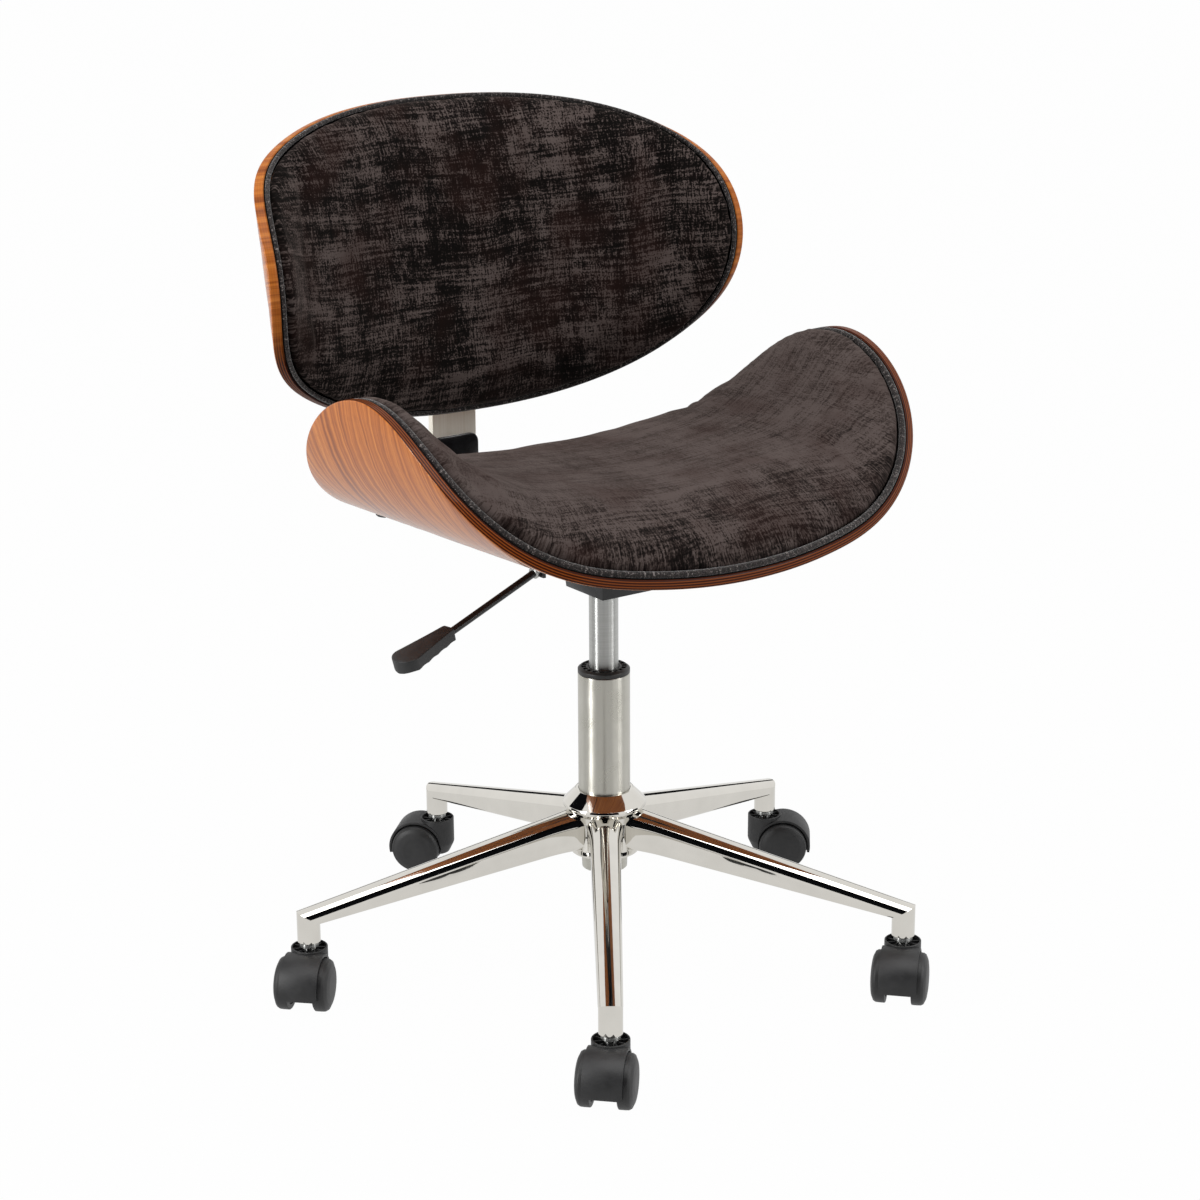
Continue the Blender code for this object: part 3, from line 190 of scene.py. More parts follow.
# Chrome plate: a mirror of a light neutral grey; the polish ripples it every 15 mm, and wiping
# leaves faint clouds 20 mm across
chrome_plate, tree, shader = new_finish("chrome_plate", Metallic=1.0)
spot = add_node(tree, "ShaderNodeTexCoord").outputs["Object"]
wipe = add_node(tree, "ShaderNodeTexNoise", {"Vector": spot, "Scale": 45.0, "Detail": 5.0})
cloudy = add_node(tree, "ShaderNodeMapRange", {"Value": wipe.outputs["Fac"], 1: 0.45, 2: 0.75,
                                               3: 0.03, 4: 0.07})
tint = add_node(tree, "ShaderNodeValToRGB", {"Fac": wipe.outputs["Fac"]},
                [(0.3, "#d3d0c9"), (0.7, "#d9d6cf")])
ripple = add_node(tree, "ShaderNodeTexNoise", {"Vector": spot, "Scale": 65.0, "Detail": 1.0})
bump = add_node(tree, "ShaderNodeBump", {"Height": ripple.outputs["Fac"], "Strength": 0.05,
                                         "Distance": 0.0006})
dress(tree, shader, Base_Color=tint, Roughness=cloudy, Normal=bump)

on_column = Matrix.Translation((0, COLUMN_Y, 0))
fitted("hub_collar", turned(eased(hub_corners), joined=True), chrome_plate, "base", "chrome",
       "base_hub", place=on_column, sharp=50)


# Legs: five arched steel tubes pressed from sheet, mitred and welded to a caster socket at the
# tip, and chrome plated together with the hub.
LEG_REACH = 0.2955
LEG_TURN = 19.5
SOCKET_RADIUS = 0.0110
SOCKET_LOW = 0.0600
SOCKET_TOP = 0.0910
SOCKET_BORE = 0.0062
HUB_SIDE = 0.0325
ROOT_TOP = 0.159
ROOT_LOW = 0.122
ROOT_HALF = 0.0150
TIP_NARROWER = 0.0038
TIP_DEPTH = 0.0130
FLARE = 0.0022
FLARE_LENGTH = 0.030


def leg_ring(x, half, top, low):
    """Arched section across a leg: flat underside, rounded lower edges, half-round top."""
    spring = top - half * 0.92
    bend = half * 0.30
    ring = [(0, low)]
    ring += [(half - bend + bend * math.sin(a), low + bend - bend * math.cos(a))
             for a in np.linspace(0, math.pi / 2, 6)]
    ring += [(half * math.cos(a), spring + (top - spring) * math.sin(a))
             for a in np.linspace(0, math.pi, 33)]
    ring += [(-half + bend - bend * math.sin(a), low + bend - bend * math.cos(a))
             for a in np.linspace(math.pi / 2, 0, 6)]
    return [(x, y, z) for y, z in ring]


def leg_beam():
    """One leg along +X, flared at its root and cut square to its slope over the caster socket."""
    tip_top = SOCKET_TOP + SOCKET_RADIUS * 0.25
    tip_low = tip_top - TIP_DEPTH - SOCKET_RADIUS * 0.25
    rings = []
    for x in (HUB_SIDE - 0.006, *np.linspace(HUB_SIDE - 0.004, HUB_SIDE + 0.032, 15),
              HUB_SIDE + 0.06, 0.18, 0.24, LEG_REACH + 0.03):
        share = (x - HUB_SIDE) / (LEG_REACH - HUB_SIDE)
        flare = FLARE * max(0, min((HUB_SIDE + FLARE_LENGTH - x) / FLARE_LENGTH, 1)) ** 2
        rings.append(leg_ring(x, ROOT_HALF - TIP_NARROWER * share + flare,
                              ROOT_TOP + (tip_top - ROOT_TOP) * share + 0.2 * flare,
                              ROOT_LOW + (tip_low - ROOT_LOW) * share - 0.5 * flare))
    return rings


def cut_flat(bm, point, outward):
    """Cut a closed mesh off beyond a plane and close the cut."""
    cut = bmesh.ops.bisect_plane(bm, geom=bm.verts[:] + bm.edges[:] + bm.faces[:],
                                 plane_co=point, plane_no=outward, clear_outer=True)
    rim = [part for part in cut["geom_cut"] if isinstance(part, bmesh.types.BMEdge)]
    bmesh.ops.contextual_create(bm, geom=rim)
    return bm


def joined_meshes(*parts):
    """Put several bmeshes into the first one."""
    for part in parts[1:]:
        mesh = plain_mesh("part", part)
        parts[0].from_mesh(mesh)
        bpy.data.meshes.remove(mesh)
    return parts[0]


leg_top = Vector((LEG_REACH + SOCKET_RADIUS, 0, SOCKET_TOP))
leg_low = Vector((LEG_REACH - SOCKET_RADIUS, 0, 0.0793))
mitre = (leg_top - leg_low).normalized()
mitre_out = Vector((mitre.z, 0, -mitre.x))
for index in range(5):
    beam = cut_flat(skin(leg_beam()), leg_top, mitre_out)
    socket_line = [(SOCKET_BORE, SOCKET_LOW), (SOCKET_RADIUS - 0.0008, SOCKET_LOW),
                   (SOCKET_RADIUS, SOCKET_LOW + 0.0008), (SOCKET_RADIUS, 0.12),
                   (SOCKET_BORE, 0.12)]
    socket = turned(socket_line, 64, joined=True)
    bmesh.ops.translate(socket, vec=(LEG_REACH, 0, 0), verts=socket.verts)
    socket = cut_flat(socket, leg_top, -mitre_out)
    turn = Matrix.Rotation(math.radians(LEG_TURN + 72 * index), 4, "Z")
    fitted(f"leg_{index + 1}", joined_meshes(beam, socket), chrome_plate, "base", "chrome",
           f"base_leg_{index + 1}", place=on_column @ turn, sharp=32)


# Column tube: drawn steel tube of the gas lift, polished round and plated, wedged into the hub.
# Polishing round the tube draws the lamps' reflections out into upright bands.
TUBE_RADIUS = 0.0250
TUBE_TOP = 0.2950
polished_tube, tree, shader = new_finish("polished_plated_tube", Metallic=1.0, Anisotropic=0.95,
                                         Anisotropic_Rotation=0.25)
spot = add_node(tree, "ShaderNodeTexCoord").outputs["Object"]
round_tube = add_node(tree, "ShaderNodeTangent", direction_type="RADIAL", axis="Z")
# Faint clouds of the polish, 20 mm long
cloud = add_node(tree, "ShaderNodeTexNoise", {"Vector": spot, "Scale": 50.0, "Detail": 4.0})
rough = add_node(tree, "ShaderNodeMapRange", {"Value": cloud.outputs["Fac"], 1: 0.35, 2: 0.70,
                                              3: 0.27, 4: 0.34})
tint = add_node(tree, "ShaderNodeValToRGB", {"Fac": cloud.outputs["Fac"]},
                [(0.3, "#b7b5ac"), (0.7, "#c4c2ba")])
dress(tree, shader, Tangent=round_tube, Base_Color=tint, Roughness=rough)
tube_line = [(0.0200, 0.0975, 0), (0.0218, 0.0975, 0), (TUBE_RADIUS, 0.1765, 0),
             (TUBE_RADIUS, 0.1785, 0), (TUBE_RADIUS, 0.2930, 0), (TUBE_RADIUS, TUBE_TOP, 0.0006),
             (TUBE_RADIUS - 0.0018, TUBE_TOP, 0)]
fitted("column_sleeve", turned(eased(tube_line), joined=True), polished_tube, "base", "chrome",
       "column_tube", place=on_column)


# Guide bush: a black acetal ring pressed into the tube's mouth, moulded with a ring of open
# pockets in its top face so that it shrinks evenly.
BUSH_TOP = TUBE_TOP + 0.0062
BUSH_LOW = TUBE_TOP - 0.0900
BUSH_BORE = 0.0147
POCKETS = 18
# Acetal moulds to a semi-gloss black; a fine mould grain, drawn at 1.1 mm, and grey dust
bush_plastic, tree, shader = new_finish("acetal_bush", Roughness=0.42)
spot = add_node(tree, "ShaderNodeTexCoord").outputs["Object"]
grain = add_node(tree, "ShaderNodeTexNoise", {"Vector": spot, "Scale": 900.0, "Detail": 2.0})
dust = add_node(tree, "ShaderNodeTexNoise", {"Vector": spot, "Scale": 130.0, "Detail": 3.0})
tint = add_node(tree, "ShaderNodeValToRGB", {"Fac": dust.outputs["Fac"]},
                [(0.35, "#141415"), (0.75, "#2a2927")])
bump = add_node(tree, "ShaderNodeBump", {"Height": grain.outputs["Fac"], "Strength": 0.2,
                                         "Distance": 0.0002})
dress(tree, shader, Base_Color=tint, Normal=bump)
bush_line = [(0.0229, TUBE_TOP + 0.0003, 0), (TUBE_RADIUS, TUBE_TOP + 0.0003, 0.0004),
             (TUBE_RADIUS, BUSH_TOP - 0.0020, 0.001), (TUBE_RADIUS - 0.0026, BUSH_TOP, 0.0006),
             (0.0216, BUSH_TOP, 0.0004), (0.0216, BUSH_TOP - 0.0036, 0),
             (0.0172, BUSH_TOP - 0.0036, 0), (0.0172, BUSH_TOP, 0.0004),
             (BUSH_BORE, BUSH_TOP, 0.0004), (BUSH_BORE, BUSH_LOW, 0), (0.0229, BUSH_LOW, 0)]
fitted("guide_bush", turned(eased(bush_line, steps=3), 96, joined=True), bush_plastic, "base",
       "black_nylon", "column_bush", place=on_column)


def new_rule(name, **sizes):
    """Start a geometry tree whose named inputs carry its sizes."""
    rule = bpy.data.node_groups.new(name, "GeometryNodeTree")
    rule.interface.new_socket("Geometry", in_out="INPUT", socket_type="NodeSocketGeometry")
    for label, value in sizes.items():
        kind = {int: "Int", float: "Float", tuple: "Vector"}[type(value)]
        socket = rule.interface.new_socket(label, in_out="INPUT",
                                           socket_type=f"NodeSocket{kind}")
        socket.default_value = value
    rule.interface.new_socket("Geometry", in_out="OUTPUT", socket_type="NodeSocketGeometry")
    return rule, rule.nodes.new("NodeGroupInput"), rule.nodes.new("NodeGroupOutput")


def follow_rule(name, rule, start, finish, body, slot, *nodes, place=None, sharp=35, **sizes):
    """Run a geometry tree on a start mesh and keep its result as one plain piece."""
    carrier = set_out(name, bpy.data.meshes.new(name) if start is None else start)
    step = carrier.modifiers.new("rule", "NODES")
    step.node_group = rule
    for socket in rule.interface.items_tree:
        if socket.in_out == "INPUT" and socket.name in sizes:
            step[socket.identifier] = sizes[socket.name]
    bpy.context.view_layer.update()
    shape = carrier.evaluated_get(bpy.context.evaluated_depsgraph_get())
    made = bpy.data.meshes.new_from_object(shape)
    bpy.data.objects.remove(carrier)
    bm = bmesh.new()
    bm.from_mesh(made)
    bpy.data.meshes.remove(made)
    bmesh.ops.recalc_face_normals(bm, faces=bm.faces)
    return fitted(name, bm, finish, body, slot, *nodes, place=place, sharp=sharp)


def close_rule(rule, result, loose, finish):
    """End a geometry tree: make its instances real and give them their finish."""
    real = add_node(rule, "GeometryNodeRealizeInstances", {"Geometry": loose})
    coated = add_node(rule, "GeometryNodeSetMaterial", {"Geometry": real.outputs["Geometry"],
                                                        "Material": finish})
    rule.links.new(coated.outputs["Geometry"], result.inputs[0])


def ribs_in_a_ring(name, finish, **sizes):
    """Geometry tree that stands flat ribs on a circle, each with its length pointing outwards."""
    rule, given, result = new_rule(name, **sizes)
    ring = add_node(rule, "GeometryNodeMeshCircle", {"Vertices": given.outputs["Ribs"],
                                                     "Radius": given.outputs["Radius"]})
    size = add_node(rule, "ShaderNodeCombineXYZ", {"X": given.outputs["Length"],
                                                   "Y": given.outputs["Width"],
                                                   "Z": given.outputs["Height"]})
    rib = add_node(rule, "GeometryNodeMeshCube", {"Size": size.outputs["Vector"]})
    outward = add_node(rule, "GeometryNodeInputPosition")
    turn = add_node(rule, "FunctionNodeAlignEulerToVector",
                    {"Vector": outward.outputs["Position"]}, axis="X", pivot_axis="Z")
    ribs = add_node(rule, "GeometryNodeInstanceOnPoints", {"Points": ring.outputs["Mesh"],
                                                           "Instance": rib.outputs["Mesh"],
                                                           "Rotation": turn.outputs["Rotation"]})
    close_rule(rule, result, ribs.outputs["Instances"], finish)
    return rule


# The ribs between the pockets, instanced round the bush
bush_rule = ribs_in_a_ring("bush_ribs", bush_plastic, Ribs=POCKETS, Radius=0.0194,
                           Length=0.0048, Width=0.0016, Height=0.0034)
follow_rule("bush_ribs", bush_rule, None, bush_plastic, "base", "black_nylon",
            place=on_column @ Matrix.Translation((0, 0, BUSH_TOP - 0.0019)))


# Pressure cylinder: ground steel tube that slides in the bush, satin under a thin oil film,
# with its taper wedged up into the mechanism.
ground_steel, tree, shader = new_finish("ground_steel", Metallic=1.0, Anisotropic=1.0,
                                        Anisotropic_Rotation=0.25)
spot = add_node(tree, "ShaderNodeTexCoord").outputs["Object"]
round_tube = add_node(tree, "ShaderNodeTangent", direction_type="RADIAL", axis="Z")
# Grinding marks run round the tube, drawn at 0.8 mm so that they show
stretch = add_node(tree, "ShaderNodeMapping", {"Vector": spot, "Scale": (8.0, 8.0, 1250.0)})
marks = add_node(tree, "ShaderNodeTexNoise", {"Vector": stretch.outputs["Vector"], "Scale": 1.0,
                                              "Detail": 2.0})
rough = add_node(tree, "ShaderNodeMapRange", {"Value": marks.outputs["Fac"], 3: 0.28, 4: 0.34})
tint = add_node(tree, "ShaderNodeValToRGB", {"Fac": marks.outputs["Fac"]},
                [(0.3, "#b0b1ae"), (0.7, "#bcbdbb")])
bump = add_node(tree, "ShaderNodeBump", {"Height": marks.outputs["Fac"], "Strength": 0.012,
                                         "Distance": 0.0002})
dress(tree, shader, Tangent=round_tube, Base_Color=tint, Roughness=rough, Normal=bump)
cylinder_line = [(0, 0.1900, 0), (0.0140, 0.1900, 0.0010), (0.0140, 0.3716, 0),
                 (0.01385, 0.3718, 0), (0.01385, 0.3722, 0), (0.0140, 0.3724, 0),
                 (0.0140, 0.3742, 0), (0.01385, 0.3744, 0), (0.01385, 0.3748, 0),
                 (0.0140, 0.3750, 0), (0.0140, 0.3815, 0.002),
                 (0.0134, 0.4055, 0.0010), (0.0046, 0.4055, 0), (0.0046, 0.3860, 0),
                 (0, 0.3860, 0)]
fitted("lift_cylinder", turned(eased(cylinder_line), 96), ground_steel, "seat", "satin_steel",
       "gas_cylinder", place=on_column)


# Works inside the column: piston rod, thrust bearing, retaining clip and valve pin, of machined
# steel darkened by a film of oil that is uneven over 4 mm. They show only where the lift is seen
# from below.
oiled_steel, tree, shader = new_finish("oiled_steel", Metallic=1.0)
spot = add_node(tree, "ShaderNodeTexCoord").outputs["Object"]
film = add_node(tree, "ShaderNodeTexNoise", {"Vector": spot, "Scale": 260.0, "Detail": 4.0})
tint = add_node(tree, "ShaderNodeValToRGB", {"Fac": film.outputs["Fac"]},
                [(0.35, "#4a4947"), (0.7, "#6d6b67")])
rough = add_node(tree, "ShaderNodeMapRange", {"Value": film.outputs["Fac"], 3: 0.28, 4: 0.48})
dress(tree, shader, Base_Color=tint, Roughness=rough)


def coat_node(finish, *names):
    """Give frame nodes that already have the right shape their real finish."""
    for name in names:
        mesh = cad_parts[name].data
        mesh.materials.clear()
        mesh.materials.append(finish)


coat_node(oiled_steel, "piston_rod", "thrust_bearing", "retaining_clip", "valve_pin")


# Mechanism: a folded steel tray welded round the column's socket, under a plate that bolts to
# the seat and has a tab bent down for the lever; both are powder coated satin black.
powder_coat, tree, shader = new_finish("black_powder_coat", Specular_IOR_Level=0.45)
spot = add_node(tree, "ShaderNodeTexCoord").outputs["Object"]
# Orange peel of the coating, 1.5 mm across, over soft scuffs
peel = add_node(tree, "ShaderNodeTexNoise", {"Vector": spot, "Scale": 650.0, "Detail": 1.0})
scuff = add_node(tree, "ShaderNodeTexNoise", {"Vector": spot, "Scale": 60.0, "Detail": 5.0})
tint = add_node(tree, "ShaderNodeValToRGB", {"Fac": scuff.outputs["Fac"]},
                [(0.35, "#0f1012"), (0.72, "#1c1d20")])
rough = add_node(tree, "ShaderNodeMapRange", {"Value": scuff.outputs["Fac"], 3: 0.22, 4: 0.36})
bump = add_node(tree, "ShaderNodeBump", {"Height": peel.outputs["Fac"], "Strength": 0.25,
                                         "Distance": 0.0003})
dress(tree, shader, Base_Color=tint, Roughness=rough, Normal=bump)


def rounded_copy(node, width, segments=2, angle=30):
    """Copy a frame node's mesh, merge its loose triangles and round its sharp edges."""
    bm = bmesh.new()
    bm.from_mesh(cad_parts[node].data)
    bmesh.ops.remove_doubles(bm, verts=bm.verts, dist=0.00001)
    bmesh.ops.dissolve_limit(bm, angle_limit=math.radians(1.0), verts=bm.verts, edges=bm.edges)
    edges = [edge for edge in bm.edges
             if edge.is_manifold and edge.calc_face_angle() > math.radians(angle)]
    bmesh.ops.bevel(bm, geom=edges, offset=width, segments=segments, profile=0.5,
                    affect="EDGES", clamp_overlap=True)
    return bm


fitted("tilt_tray", rounded_copy("mechanism_housing", 0.0007), powder_coat, "seat",
       "black_paint", "mechanism_housing")
fitted("mounting_plate", rounded_copy("seat_plate", 0.0005), powder_coat, "seat", "black_paint",
       "seat_plate")


# Lever: a bent 7 mm steel rod, powder coated, with a bright washer that stops it in the tab.
LEVER_OUT = 0.0850
LEVER_AHEAD = 0.0177
LEVER_PIVOT = Vector((-LEVER_OUT, COLUMN_Y - LEVER_AHEAD, 0.4155))
LEVER_SLOPE = math.tan(math.radians(16.5))
LEVER_RADIUS = 0.0035
LEVER_HEIGHT = 0.00222
GRIP_START = 0.1148
PADDLE_FALL = math.tan(math.radians(14.6))
on_lever = (Matrix.Translation(LEVER_PIVOT)
            @ Matrix.Rotation(math.atan2(LEVER_AHEAD, LEVER_OUT), 4, "Z"))


def swept(path, side, outlines):
    """Sweep sections along a path in a plane; each has points to the side and outward."""
    loops = []
    for i, point in enumerate(path):
        along = (path[min(i + 1, len(path) - 1)] - path[max(i - 1, 0)]).normalized()
        out = side.cross(along)
        loops.append([point + side * s + out * n for s, n in outlines[i]])
    return skin(loops)


def round_section(radius, steps=24):
    """Points round a circle."""
    turns = [2 * math.pi * i / steps for i in range(steps)]
    return [(radius * math.cos(turn), radius * math.sin(turn)) for turn in turns]


lever_corners = [(0.0918, LEVER_HEIGHT, 0), (0.0075, LEVER_HEIGHT, 0.012),
                 (-GRIP_START, -GRIP_START * LEVER_SLOPE, 0.02),
                 (-GRIP_START - 0.02, -GRIP_START * LEVER_SLOPE - 0.02 * PADDLE_FALL, 0)]
lever_path = [Vector((p.x, 0, p.y)) for p in eased(lever_corners)]
fitted("lever_shank",
       swept(lever_path, Vector((0, 1, 0)), [round_section(LEVER_RADIUS)] * len(lever_path)),
       powder_coat, "lever", "black_paint", "lever_rod", place=on_lever)
washer_path = [Vector((x, 0, x * LEVER_SLOPE)) for x in (-0.0040, -0.0043, -0.0076, -0.0079)]
washer_rings = [round_section(r) for r in (0.0051, 0.0056, 0.0056, 0.0051)]
fitted("lever_washer", swept(washer_path, Vector((0, 1, 0)), washer_rings), ground_steel, "lever",
       "satin_steel", place=on_lever)


# Paddle: moulded nylon pressed on the rod, teardrop shaped from above, with a flat top, drawn
# sides and finger steps along its lower edge.
PADDLE_LENGTH = 0.0645
PADDLE_TOP = 0.0062
NECK_HALF = 0.0072
BROAD_HALF = 0.0148
BROADEST = 0.80
moulded_nylon, tree, shader = new_finish("moulded_nylon", Specular_IOR_Level=0.5)
spot = add_node(tree, "ShaderNodeTexCoord").outputs["Object"]
# Spark-eroded mould texture, about 0.6 mm, and the cloudy look that handling leaves
texture = add_node(tree, "ShaderNodeTexNoise", {"Vector": spot, "Scale": 1500.0, "Detail": 2.0})
cloud = add_node(tree, "ShaderNodeTexNoise", {"Vector": spot, "Scale": 90.0, "Detail": 4.0})
tint = add_node(tree, "ShaderNodeValToRGB", {"Fac": cloud.outputs["Fac"]},
                [(0.3, "#111112"), (0.75, "#252526")])
rough = add_node(tree, "ShaderNodeMapRange", {"Value": cloud.outputs["Fac"], 3: 0.42, 4: 0.58})
bump = add_node(tree, "ShaderNodeBump", {"Height": texture.outputs["Fac"], "Strength": 0.35,
                                         "Distance": 0.0003})
dress(tree, shader, Base_Color=tint, Roughness=rough, Normal=bump)
paddle_path = []
paddle_rings = []
for share in [0.0, 0.012, 0.03, *np.linspace(0.06, 0.90, 29), 0.93, 0.96, 0.98, 0.993, 1.0]:
    x = -GRIP_START - PADDLE_LENGTH * share
    fall = PADDLE_LENGTH * share * PADDLE_FALL
    paddle_path.append(Vector((x, 0, -GRIP_START * LEVER_SLOPE - fall)))
    half = NECK_HALF + (BROAD_HALF - NECK_HALF) * min(share / BROADEST, 1.0) ** 1.15
    if share > BROADEST:
        half *= math.sqrt(max(1 - ((share - BROADEST) / 0.2005) ** 2, 0.0))
    elif share < 0.03:
        half *= 0.86 + 0.14 * math.sqrt(share / 0.03)
    # Five finger steps, 0.9 mm deep
    low = -PADDLE_TOP + 0.0009 * abs(math.sin(share * math.pi * 5))
    edge = min(0.0011, half * 0.4)
    corners = [(-half, PADDLE_TOP, edge), (half, PADDLE_TOP, edge),
               (half * 0.94, low, edge), (-half * 0.94, low, edge)]
    paddle_rings.append([Vector(p) for p in eased(corners, closed=True, steps=4)])
fitted("lever_grip", swept(paddle_path, Vector((0, 1, 0)), paddle_rings), moulded_nylon, "lever",
       "black_nylon", "lever_paddle", place=on_lever, sharp=50)


# Seat shell: nine millimetres of bent plywood faced with walnut veneer, its grain running from
# wing to wing, edges sanded round and the whole lacquered clear.
PLY = 0.009
SANDED = 0.0016
# Half length along the ply, reach to the front and reach to the rear; the outline's fullness
SEAT_SIZES = (0.3481, 0.1963, 0.2150)
SEAT_POWERS = (2.08, 1.93)
# Where the bend of a wing starts and ends along the ply, and its angle at both
SEAT_BEND = (0.0916, 0.4305, 0.128, 1.800)
SEAT_AHEAD = 0.0268
SEAT_Z = 0.4423
PITCH = math.radians(1.70)
on_seat = (Matrix.Translation((0, COLUMN_Y - SEAT_AHEAD, SEAT_Z))
           @ Matrix.Rotation(-PITCH, 4, "X"))


def ply_curve(bend, length=0.40, steps=800):
    """Distance along the bent ply, its place across and up, and its angle there."""
    start, end, start_turn, end_turn = bend
    u = np.linspace(0, length, steps + 1)

    def angle_at(along):
        share = np.clip((along - start) / (end - start), 0, 1)
        ease = share * share * (3 - 2 * share)
        return start_turn * np.minimum(along / start, 1) + (end_turn - start_turn) * ease

    middle = angle_at((u[1:] + u[:-1]) / 2)
    step = length / steps
    across = np.concatenate([[0], np.cumsum(step * np.cos(middle))])
    rise = np.concatenate([[0], np.cumsum(step * np.sin(middle))])
    return u, across, rise, angle_at(u)


def bend_points(flat, bend):
    """Bend flat places (along the ply, to the rear, above its face) round the ply."""
    u, across, rise, angle = ply_curve(bend)
    along = np.abs(flat[:, 0])
    side = np.where(flat[:, 0] < 0, -1, 1)
    lean = np.interp(along, u, angle)
    x = side * (np.interp(along, u, across) - flat[:, 2] * np.sin(lean))
    z = np.interp(along, u, rise) + flat[:, 2] * np.cos(lean)
    return np.column_stack([x, flat[:, 1], z])


def flat_points(bent, bend):
    """Flat places of points near the bent ply."""
    u, across, rise, angle = ply_curve(bend)
    side = np.where(bent[:, 0] < 0, -1, 1)
    along = np.empty(len(bent))
    height = np.empty(len(bent))
    for first in range(0, len(bent), 4000):
        part = slice(first, first + 4000)
        dx = np.abs(bent[part, 0])[:, None] - across[None, :]
        dz = bent[part, 2][:, None] - rise[None, :]
        off = dx * np.cos(angle) + dz * np.sin(angle)
        near = np.argmin(dx * dx + dz * dz, axis=1)
        rows = np.arange(len(near))
        along[part] = u[near] + off[rows, near]
        height[part] = -dx[rows, near] * np.sin(angle[near]) + dz[rows, near] * np.cos(angle[near])
    return np.column_stack([side * along, bent[:, 1], height])


def outline_ring(sizes, powers, inset, height, share=1.0, steps=288):
    """Ring round the ply's outline, drawn in by an inset, at a height or a height rule.

    An inset may differ between the ply's two ends and its front and rear.
    """
    ends, sides = inset if isinstance(inset, tuple) else (inset, inset)
    half, low, high = sizes[0] - ends, sizes[1] - sides, sizes[2] - sides
    ring = []
    for i in range(steps):
        c, s = math.cos(2 * math.pi * i / steps), math.sin(2 * math.pi * i / steps)
        u = math.copysign(half * abs(c) ** (2 / powers[0]), c) * share
        v = math.copysign((high if s > 0 else low) * abs(s) ** (2 / powers[1]), s) * share
        ring.append((u, v, height(u) if callable(height) else height))
    return ring


def ply_piece(sizes, powers):
    """Closed flat sheet of ply with sanded edges, to be bent later."""
    shares = [0.03, 0.1, *np.linspace(0.18, 0.96, 14)]
    rings = [[(0, 0, 0)]]
    rings += [outline_ring(sizes, powers, SANDED, 0.0, share) for share in shares]
    for turn in np.linspace(0, math.pi / 2, 5):
        rings.append(outline_ring(sizes, powers, SANDED * (1 - math.sin(turn)),
                                  -SANDED * (1 - math.cos(turn))))
    for height in (-0.003, -0.0045, -0.006):
        rings.append(outline_ring(sizes, powers, 0.0, height))
    for turn in np.linspace(math.pi / 2, 0, 5):
        rings.append(outline_ring(sizes, powers, SANDED * (1 - math.sin(turn)),
                                  -PLY + SANDED * (1 - math.cos(turn))))
    rings += [outline_ring(sizes, powers, SANDED, -PLY, share) for share in reversed(shares)]
    rings.append([(0, 0, -PLY)])
    return skin(rings)


def bent(bm, bend, place):
    """Bend a flat piece, put it in its place and keep its flat place for its finish."""
    flat_layer = bm.verts.layers.float_vector.new("flat")
    flat = np.array([vert.co for vert in bm.verts])
    for vert, lay, point in zip(bm.verts, flat, bend_points(flat, bend)):
        vert[flat_layer] = Vector(lay)
        vert.co = place @ Vector(point)
    return bm


# Sliced walnut veneer, sanded and lacquered clear: an even orange brown with fine dark lines,
# under a thin gloss that pales where it meets the light
walnut, tree, shader = new_finish("lacquered_walnut_veneer", Specular_IOR_Level=0.08,
                                  Coat_Roughness=0.06)
lay = add_node(tree, "ShaderNodeAttribute", attribute_name="flat").outputs["Vector"]
# Figure: growth rings about 5 mm apart that wander slowly along the grain
slow = add_node(tree, "ShaderNodeMapping", {"Vector": lay, "Scale": (5.0, 14.0, 0.0)})
drift = add_node(tree, "ShaderNodeTexNoise", {"Vector": slow.outputs[0], "Scale": 1.0,
                                              "Detail": 2.0})
pulled = add_node(tree, "ShaderNodeMapping", {"Vector": lay, "Scale": (2.6, 210.0, 0.0)})
wander = add_node(tree, "ShaderNodeVectorMath", {0: drift.outputs["Color"], 1: (0.0, 9.0, 0.0)},
                  operation="MULTIPLY")
lines = add_node(tree, "ShaderNodeVectorMath", {0: pulled.outputs[0], 1: wander.outputs[0]},
                 operation="ADD")
figure = add_node(tree, "ShaderNodeTexNoise", {"Vector": lines.outputs[0], "Scale": 1.0,
                                               "Detail": 4.0, "Roughness": 0.6})
tone = add_node(tree, "ShaderNodeValToRGB", {"Fac": figure.outputs["Fac"]},
                [(0.32, "#8a4719"), (0.45, "#ad6026"), (0.54, "#c0702e"), (0.72, "#d5873d")])
# Pores: dark dashes 0.5 mm wide and 9 mm long
fine = add_node(tree, "ShaderNodeMapping", {"Vector": lay, "Scale": (110.0, 1900.0, 0.0)})
dash = add_node(tree, "ShaderNodeTexNoise", {"Vector": fine.outputs[0], "Scale": 1.0,
                                             "Detail": 2.0})
pores = add_node(tree, "ShaderNodeMapRange", {"Value": dash.outputs["Fac"], 1: 0.56, 2: 0.70,
                                              3: 0.0, 4: 0.55})
grained = add_node(tree, "ShaderNodeMix", {0: pores.outputs[0], 6: tone.outputs["Color"],
                                           7: shade("#7a4322")}, data_type="RGBA")
